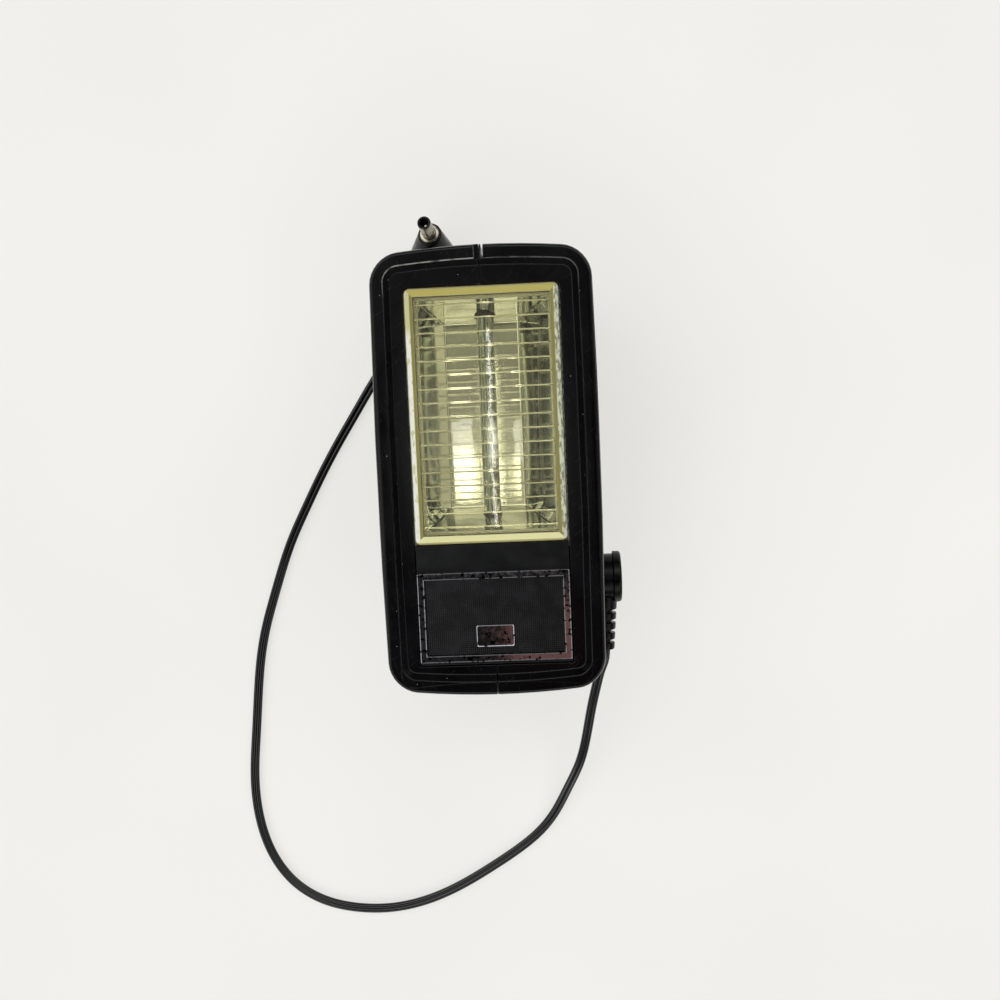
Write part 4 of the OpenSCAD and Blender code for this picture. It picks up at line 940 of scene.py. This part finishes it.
panels = []
for side in (-1, 1):
    edge = FLOOR_MID + side * FLOOR_HALF
    panels.append(panel_grid(floor_at(FLOOR_MID, -1), floor_at(edge, -1), floor_at(edge, 1),
                             floor_at(FLOOR_MID, 1), ACROSS, ALONG))
    panels.append(panel_grid(floor_at(edge, -1), ring_at(rim, side, -1), ring_at(rim, side, 1),
                             floor_at(edge, 1), ACROSS, ALONG, SLOPE_SWELL))
    panels.append(panel_grid(ring_at(rim, side, -1), ring_at(out, side, -1), ring_at(out, side, 1),
                             ring_at(rim, side, 1), 2, ALONG))
    for s in (-1, 1):
        panels.append(panel_grid(floor_at(FLOOR_MID, s), floor_at(edge, s), ring_at(rim, side, s),
                                 ring_at(rim, 0, s), ACROSS, UP_END, END_SWELL))
        panels.append(panel_grid(ring_at(rim, 0, s), ring_at(rim, side, s), ring_at(out, side, s),
                                 ring_at(out, 0, s), ACROSS, 2))
print("reflector of", len(panels), "panels")

# %% Sheet with rounded folds
FOLD_R = 0.5
FOLD_OVER = 15
FOIL_T = 0.3
reflector = dress(grid_mesh("folded_reflector", *panels, smooth_under=FOLD_OVER),
                  "reflector_aluminium", "housing", "reflector")
folds = reflector.modifiers.new("folds", "BEVEL")
folds.width = FOLD_R * MM
folds.segments = 3
folds.angle_limit = math.radians(FOLD_OVER)
thick = reflector.modifiers.new("sheet", "SOLIDIFY")
thick.thickness = FOIL_T * MM
thick.offset = 1
print("reflector of", len(reflector.data.polygons), "faces")

# %% Flash tube
# Borosilicate glass: clear, thin-walled, drawn lengthwise.
TUBE_BORE = 1.4
tree, skin = new_finish(
    "tube_glass", Base_Color=linear("#F6FAF8"), Roughness=0.02, IOR=1.47, Transmission_Weight=1.0)
drawn = blotches(tree, 0.6, (1, 60, 1))
add(tree, "Bump", {"Height": drawn, "Distance": 0.004 * MM}, to=skin["Normal"])
tube_low, tube_high = span("flash_tube")
tube_r = (tube_high[0] - tube_low[0]) / 2
tube_len = tube_high[1] - tube_low[1]
tube_start = [(tube_low[0] + tube_high[0]) / 2, tube_low[1], (tube_low[2] + tube_high[2]) / 2]
tube_profile = eased(
    [[TUBE_BORE, 0], [tube_r, 0], [tube_r, tube_len], [TUBE_BORE, tube_len], [TUBE_BORE, 0]],
    [0.2, 0.2, 0.1], 4)
tube = grid_mesh("glass_tube", turned(tube_profile, tube_start, [0, 1, 0], 48))
dress(tube, "tube_glass", "housing", "flash_tube")
print("tube", round(tube_len, 1), "mm long")

# %% [markdown]
# ## Finishes of the other pieces
# The pieces on the back, the sides and inside keep the form of their solids. Each still gets the finish of
# its real material: what drifts is its colour and its gloss, and what is grainy gets a grain of the right
# size. They differ only in those values, so each is one line with the sizes in millimetres.

# %% Metals
# Rolled steel: plain grey, with fine lines along the strip.
mottled("steel", "#9C9C9E", "#C6C6C8", 2.0, (0.2, 0.38), (0.2, 0.004), (1, 6, 1), Metallic=1.0)
# Tinned copper wire: grey-white, slightly dull.
mottled("copper", "#CFCDC4", "#E8E6DD", 2.0, (0.3, 0.45), Metallic=1.0)
# Brass sheet: yellow, dulled in patches by fingers.
mottled("brass_plate", "#B69548", "#D2B468", 2.5, (0.2, 0.36), (0.25, 0.004), Metallic=1.0)
# Spun aluminium with a brushed face: pale grey, streaked sideways.
mottled("scale_silver", "#A9AAAC", "#C9CACC", 1.2, (0.28, 0.42), (0.15, 0.005), (8, 1, 1), Metallic=0.85)
# Shrunk PVC sleeve on a can: dark blue, satin, slightly wavy.
mottled("capacitor_can", "#161C2E", "#202842", 6, (0.28, 0.4), (0.5, 0.01), IOR=1.53)
print("metals and the can,", len(FINISHES), "finishes so far")

# %% Board and electronic parts
# Silicone rubber: dark, dull, even.
mottled("silicone", "#3A3530", "#4A443D", 3, (0.5, 0.65), IOR=1.41)
# Paper laminate: brown, with the fibres just showing.
mottled("board_laminate", "#7A5A2E", "#8F6C3A", 1.5, (0.4, 0.6), (0.5, 0.02), IOR=1.55)
# Sintered ferrite: dark grey, matt, gritty.
mottled("ferrite", "#2C2C2E", "#3A3A3C", 1.0, (0.5, 0.7), (0.3, 0.02))
# Polyester tape: yellow, glossy, with wrinkles along the winding.
mottled("tape_yellow", "#C9A227", "#D9B548", 4, (0.3, 0.45), (0.6, 0.02), (1, 8, 1), IOR=1.5)
# Dipped epoxy: brown, glossy, uneven as it ran.
mottled("dipped_brown", "#5C2C16", "#74391F", 3, (0.2, 0.4), (0.6, 0.03), IOR=1.55)
# Fired lacquer of a resistor: tan, half matt, slightly rough.
mottled("resistor_tan", "#B58A5A", "#C99E6C", 0.9, (0.35, 0.5), (0.3, 0.02), IOR=1.5)
# Dipped film capacitor: red, very glossy.
mottled("film_red", "#8E2015", "#A62C1E", 2, (0.15, 0.3), (0.8, 0.02), IOR=1.5)
# Blown glass of the neon lamp: clear with a warm cast.
mottled("lamp_glass", "#F2DCD0", "#FAEAE0", 2, (0.03, 0.08), IOR=1.5, Transmission_Weight=0.9)
print("board and its parts,", len(FINISHES), "finishes so far")

# %% Controls, tray and cells
# Dyed acrylic: amber, half clear, polished.
mottled("ready_amber", "#D8621C", "#EE8230", 2, (0.08, 0.18), IOR=1.49, Transmission_Weight=0.45)
# Moulded nylon: black, dull.
mottled("switch_black", "#18181A", "#222224", 3, (0.4, 0.55), (0.3, 0.01), IOR=1.5)
# Moulded ABS in grey, rubbed by fingers.
mottled("knob_grey", "#3A3A3D", "#4A4A4D", 3, (0.35, 0.5), (0.3, 0.015), IOR=1.5)
# Moulded ABS in dark red, with a satin face.
mottled("button_red", "#7E1410", "#96211A", 2.5, (0.25, 0.4), (0.3, 0.01), IOR=1.5)
# Moulded ABS of the tray: black, plain, matt from the mould.
mottled("tray_abs", "#1B1B1D", "#262628", 5, (0.4, 0.55), (0.3, 0.015), IOR=1.5)
# Printed shrink film of a cell: blue, glossy.
mottled("cell_wrap", "#34506E", "#3F5F80", 8, (0.18, 0.3), (0.8, 0.01), IOR=1.5)
# Moulded polystyrene of the dial: black, satin.
mottled("dial_black", "#121214", "#1C1C1E", 3, (0.34, 0.48), (0.25, 0.01), IOR=1.5)
print(len(FINISHES), "finishes")

# %% [markdown]
# ## The back and its controls
# On the back are the battery door, the exposure dial in its scale ring, the test button and the ready
# light, and the switch sits on the left side. The photograph doesn't show them, so they are the plain
# controls that such a flash has. Their solids are right, and lose their sharp edges like the case. Every
# other solid gets its finish.

# %% Softened controls and fittings
SOFT_EDGES = {
    "battery_door": 0.25, "shoe_foot": 0.15, "switch_knob": 0.18, "test_button": 0.25, "ready_lens": 0.5,
    "calculator_dial": 0.12, "scale_ring": 0.1, "dial_rivet": 0.25, "shoe_contact": 0.25, "foot_screws": 0.1,
    "case_screws": 0.1, "sync_jack": 0.12}
for node, edge in SOFT_EDGES.items():
    softened(node, node + "_softened", edge)
for node, piece in NODES.items():
    for place in piece.material_slots:
        place.material = FINISHES[SLOT_OF[node]]
print("softened", len(SOFT_EDGES), "controls and fittings, and dressed", len(NODES), "solids")

# %% [markdown]
# ## Numbers and marks
# The dial has film speeds and the ring round it has lens stops, with a tick for each, and the switch has
# its two positions. Text could be painted by a material, but print has a little thickness, and real letters
# stay sharp from any distance. Each word is Blender text turned into a thin mesh, then laid on its surface
# by three directions.

# %% Words
def lettering(name, slot, body, words, size, origin, right, up, lift, raised):
    """One thin mesh of words, each (text, x, y, turn): its points (p, q, h) become origin + X right + Y up +
    (lift + h) outward, where X and Y are p and q turned by the angle and moved by x and y, in millimetres."""
    right, up = unit(right), unit(up)
    outward = np.cross(right, up)
    corners, faces = [], []
    count = 0
    for text, x, y, turn in words:
        curve = bpy.data.curves.new("word", "FONT")
        curve.body = text
        curve.size = size
        curve.align_x = "CENTER"
        curve.align_y = "CENTER"
        curve.extrude = raised
        curve.resolution_u = 4
        word = bpy.data.objects.new("word", curve)
        SHOWN.link(word)
        mesh = bpy.data.meshes.new_from_object(word.evaluated_get(bpy.context.evaluated_depsgraph_get()))
        p = np.empty(3 * len(mesh.vertices))
        mesh.vertices.foreach_get("co", p)
        p = p.reshape(-1, 3)
        c, s = math.cos(math.radians(turn)), math.sin(math.radians(turn))
        flat = p[:, :2] @ np.array([[c, s], [-s, c]]) + [x, y]
        corners.append(origin + flat[:, :1] * right + flat[:, 1:] * up + (lift + p[:, 2:]) * outward)
        indices = np.empty(len(mesh.loops), int)
        mesh.loops.foreach_get("vertex_index", indices)
        starts = np.empty(len(mesh.polygons), int)
        mesh.polygons.foreach_get("loop_start", starts)
        faces += [face.tolist() for face in np.split(indices + count, starts[1:])]
        count += len(p)
        bpy.data.objects.remove(word)
    made = bpy.data.meshes.new(name)
    made.from_pydata((np.concatenate(corners) * MM).tolist(), [], faces)
    welded(made)
    return dress(made, slot, body)


PRINT_T = 0.05
WALL_X = -23.75
SWITCH_TRAVEL = 4
ON_GAP = 3.6
OFF_GAP = 4.4
knob_low, knob_high = span("switch_knob")
on_at = -(knob_high[1] + SWITCH_TRAVEL + ON_GAP)
off_at = -(knob_low[1] - OFF_GAP)
switch_middle = np.array([WALL_X, 0, (knob_low + knob_high)[2] / 2])
print("words", round(off_at - on_at, 1), "mm apart at the switch")

# %% Ticks
def ticks(name, slot, body, count, radii, width, origin, right, up, lift):
    """Radial bars between two radii, one quad each, given their thickness by a modifier."""
    right, up = unit(right), unit(up)
    outward = np.cross(right, up)
    bars = []
    for a in np.linspace(0, 2 * np.pi, count, endpoint=False):
        along = math.cos(a) * right + math.sin(a) * up
        beside = width / 2 * np.cross(outward, along)
        near, far = (origin + r * along + lift * outward for r in radii)
        bars.append(np.array([[near - beside, near + beside], [far - beside, far + beside]]))
    piece = dress(grid_mesh(name, *bars), slot, body)
    depth = piece.modifiers.new("print", "SOLIDIFY")
    depth.thickness = PRINT_T * MM
    depth.offset = 0


def round_dial(words, radius):
    """Words spread clockwise round a dial, each upright on its own radius, from the top."""
    angles = np.linspace(0, -360, len(words), endpoint=False)
    turns = np.radians(angles + 90)
    return [(w, radius * math.cos(t), radius * math.sin(t), a) for w, t, a in zip(words, turns, angles)]


dial_joint = next(joint for joint in frame["joints"] if joint["name"] == "dial_turn")
dial_at = np.array(dial_joint["pos_m"]) / MM
dial_out = unit(dial_joint["axis"])
print("dial about", np.round(dial_at, 1), "mm")

# %% Marks of the dial, the ring and the switch
DIAL_PRINT_T = 0.04
DIAL_RISE = 0.9
RING_RISE = 0.5
SPEEDS = ["25", "50", "100", "200", "400", "800"]
STOPS = ["2", "2.8", "4", "5.6", "8", "11", "16", "22"]
SPEED_R = 8.9
SPEED_SIZE = 2.5
STOP_R = 14.2
STOP_SIZE = 1.9
SWITCH_SIZE = 3.4
BACK_RIGHT = np.array([-1.0, 0, 0])
BACK_UP = np.cross([1, 0, 0], dial_out)
lettering("film_speeds", "scale_silver", "dial", round_dial(SPEEDS, SPEED_R), SPEED_SIZE,
          dial_at, BACK_RIGHT, BACK_UP, DIAL_RISE, DIAL_PRINT_T)
lettering("lens_stops", "dial_black", "housing", round_dial(STOPS, STOP_R), STOP_SIZE,
          dial_at, BACK_RIGHT, BACK_UP, RING_RISE, DIAL_PRINT_T)
for name, slot, body, count, radii, width, lift in (
        ("dial_ticks", "scale_silver", "dial", 24, (10.9, 11.7), 0.25, DIAL_RISE),
        ("inner_ring", "scale_silver", "dial", 90, (5.4, 5.65), 0.42, DIAL_RISE),
        ("stop_ticks", "dial_black", "housing", 48, (12.95, 13.3), 0.18, RING_RISE)):
    ticks(name, slot, body, count, radii, width, dial_at, BACK_RIGHT, BACK_UP, lift)
lettering("switch_words", "scale_silver", "housing", [("ON", on_at, 0, 0), ("OFF", off_at, 0, 0)],
          SWITCH_SIZE, switch_middle, [0, -1, 0], [0, 0, 1], 0.0, PRINT_T)
print(len(SPEEDS), "film speeds and", len(STOPS), "lens stops set")

# %% [markdown]
# ## The cloth and the light
# The flash lies on a white cloth under soft daylight from the upper left, with a dim room overhead. The
# black front mirrors what is above it, so a bright sky there would make it grey. A few large lamps could
# light all this, but a world that is dim round the zenith and bright lower down gives softer shadows. Small
# lamps far overhead are there for the mirrors alone: they show in the reflector, the tube and the chrome.

# %% Cloth
# Woven cotton, too fine to show its threads: white, matt, with soft folds. Seen directly, in a mirror or
# through glass, most of its white is its own, which leaves the shadow faint.
OWN_WHITE = 0.7
CLOTH_HALF = 1500
CLOTH_GAP = 0.1
cloth_z = CAD_BOX[0].z / MM - CLOTH_GAP
tree, skin = new_finish("cotton_cloth", Roughness=0.9, Specular_IOR_Level=0.1)
cotton = add(tree, "Mix", (blotches(tree, 90, detail=1), "#F0EFEC", "#F8F7F3"),
             to=skin["Base Color"], data_type="RGBA")
soft_folds = blotches(tree, 70, detail=1)
add(tree, "Bump", {"Height": soft_folds, "Distance": 1.2 * MM}, to=skin["Normal"])
path = add(tree, "LightPath").outputs
seen = path["Is Camera Ray"]
for ray in ("Is Glossy Ray", "Is Transmission Ray"):
    seen = add(tree, "Math", (seen, path[ray]), operation="MAXIMUM")
share = add(tree, "Math", (seen, OWN_WHITE), operation="MULTIPLY")
glow = add(tree, "Emission", (cotton,))
add(tree, "MixShader", (share, tree.nodes["Principled BSDF"], glow),
    to=tree.nodes["Material Output"].inputs["Surface"])
cloth = bpy.data.objects.new("cloth", grid_mesh("cloth", panel_grid(
    [-CLOTH_HALF, -CLOTH_HALF, cloth_z], [CLOTH_HALF, -CLOTH_HALF, cloth_z],
    [CLOTH_HALF, CLOTH_HALF, cloth_z], [-CLOTH_HALF, CLOTH_HALF, cloth_z], 3, 3)))
cloth.data.materials.append(FINISHES["cotton_cloth"])
SHOWN.link(cloth)
print("cloth", 2 * CLOTH_HALF, "mm wide at", round(cloth_z, 2), "mm")

# %% World
# Each factor takes the direction of sight: dim overhead, dark low down where walls and furniture are, a
# little brighter towards the sky's side, windows towards the flash's two ends, and dark far past its upper
# end.
DIM_AXIS = unit([0.08, -0.16, 1.0]).tolist()
SKY_SIDE = unit([-0.7, 0.55, 0.0]).tolist()
world = bpy.data.worlds.new("soft_room")
world.use_nodes = True
bpy.context.scene.world = world
tree = world.node_tree
way = add(tree, "TexCoord").outputs["Generated"]
heading = add(tree, "SeparateXYZ", (way,)).outputs
off_zenith = add(tree, "VectorMath", (way, DIM_AXIS), operation="DOT_PRODUCT")
skyward = add(tree, "VectorMath", (way, SKY_SIDE), operation="DOT_PRODUCT")
endward = add(tree, "Math", (heading["Y"],), operation="ABSOLUTE")
level = add(tree, "MapRange", (off_zenith, 0.99, 0.72, 0.02, 1.7), interpolation_type="SMOOTHSTEP")
low = add(tree, "MapRange", (heading["Z"], 0.33, 0.55, 0.06, 1.0))
bias = add(tree, "MapRange", (skyward, -1, 1, 0.75, 1.25))
ends = add(tree, "MapRange", (endward, 0, 0.6, 0.5, 1.35))
far = add(tree, "MapRange", (heading["Y"], 0.6, 0.78, 1.0, 0.12))
for factor in (low, bias, ends, far):
    level = add(tree, "Math", (level, factor), operation="MULTIPLY")
tree.links.new(level.outputs[0], tree.nodes["Background"].inputs["Color"])
print("world made of", len(tree.nodes), "nodes")

# %% Lamps
# Each has its middle and size in metres, its radiance and its colour. Two dim panels show in the whole
# reflector, three bright patches just below them on its floor, a strip along the tube, and a warm panel in
# the chrome.
LAMPS = (
    ("upper_panel", (-0.125, 0.18, 2.0), (0.33, 0.19), 0.27, "#FFFFFF"),
    ("lower_panel", (-0.125, -0.08, 2.0), (0.33, 0.33), 0.5, "#FFFFFF"),
    ("left_patch", (-0.17, -0.036, 1.99), (0.041, 0.086), 5.0, "#FFFFFF"),
    ("middle_patch", (-0.11, -0.041, 1.99), (0.018, 0.09), 4.0, "#FFFFFF"),
    ("right_patch", (-0.058, -0.04, 1.99), (0.015, 0.079), 4.0, "#FFFFFF"),
    ("tube_strip", (-0.11, -0.008, 1.985), (0.004, 0.4), 10.0, "#FFFFFF"),
    ("warm_panel", (-0.006, -0.442, 2.0), (0.178, 0.155), 0.22, "#FFB4A6"))
for name, place, size, radiance, colour in LAMPS:
    lamp = bpy.data.objects.new(name, bpy.data.lights.new(name, "AREA"))
    lamp.data.shape = "RECTANGLE"
    lamp.data.size, lamp.data.size_y = size
    lamp.data.color = linear(colour)[:3]
    lamp.data.energy = radiance * math.pi * size[0] * size[1]
    lamp.location = place
    SHOWN.link(lamp)
    print(name, round(lamp.data.energy, 3), "W")
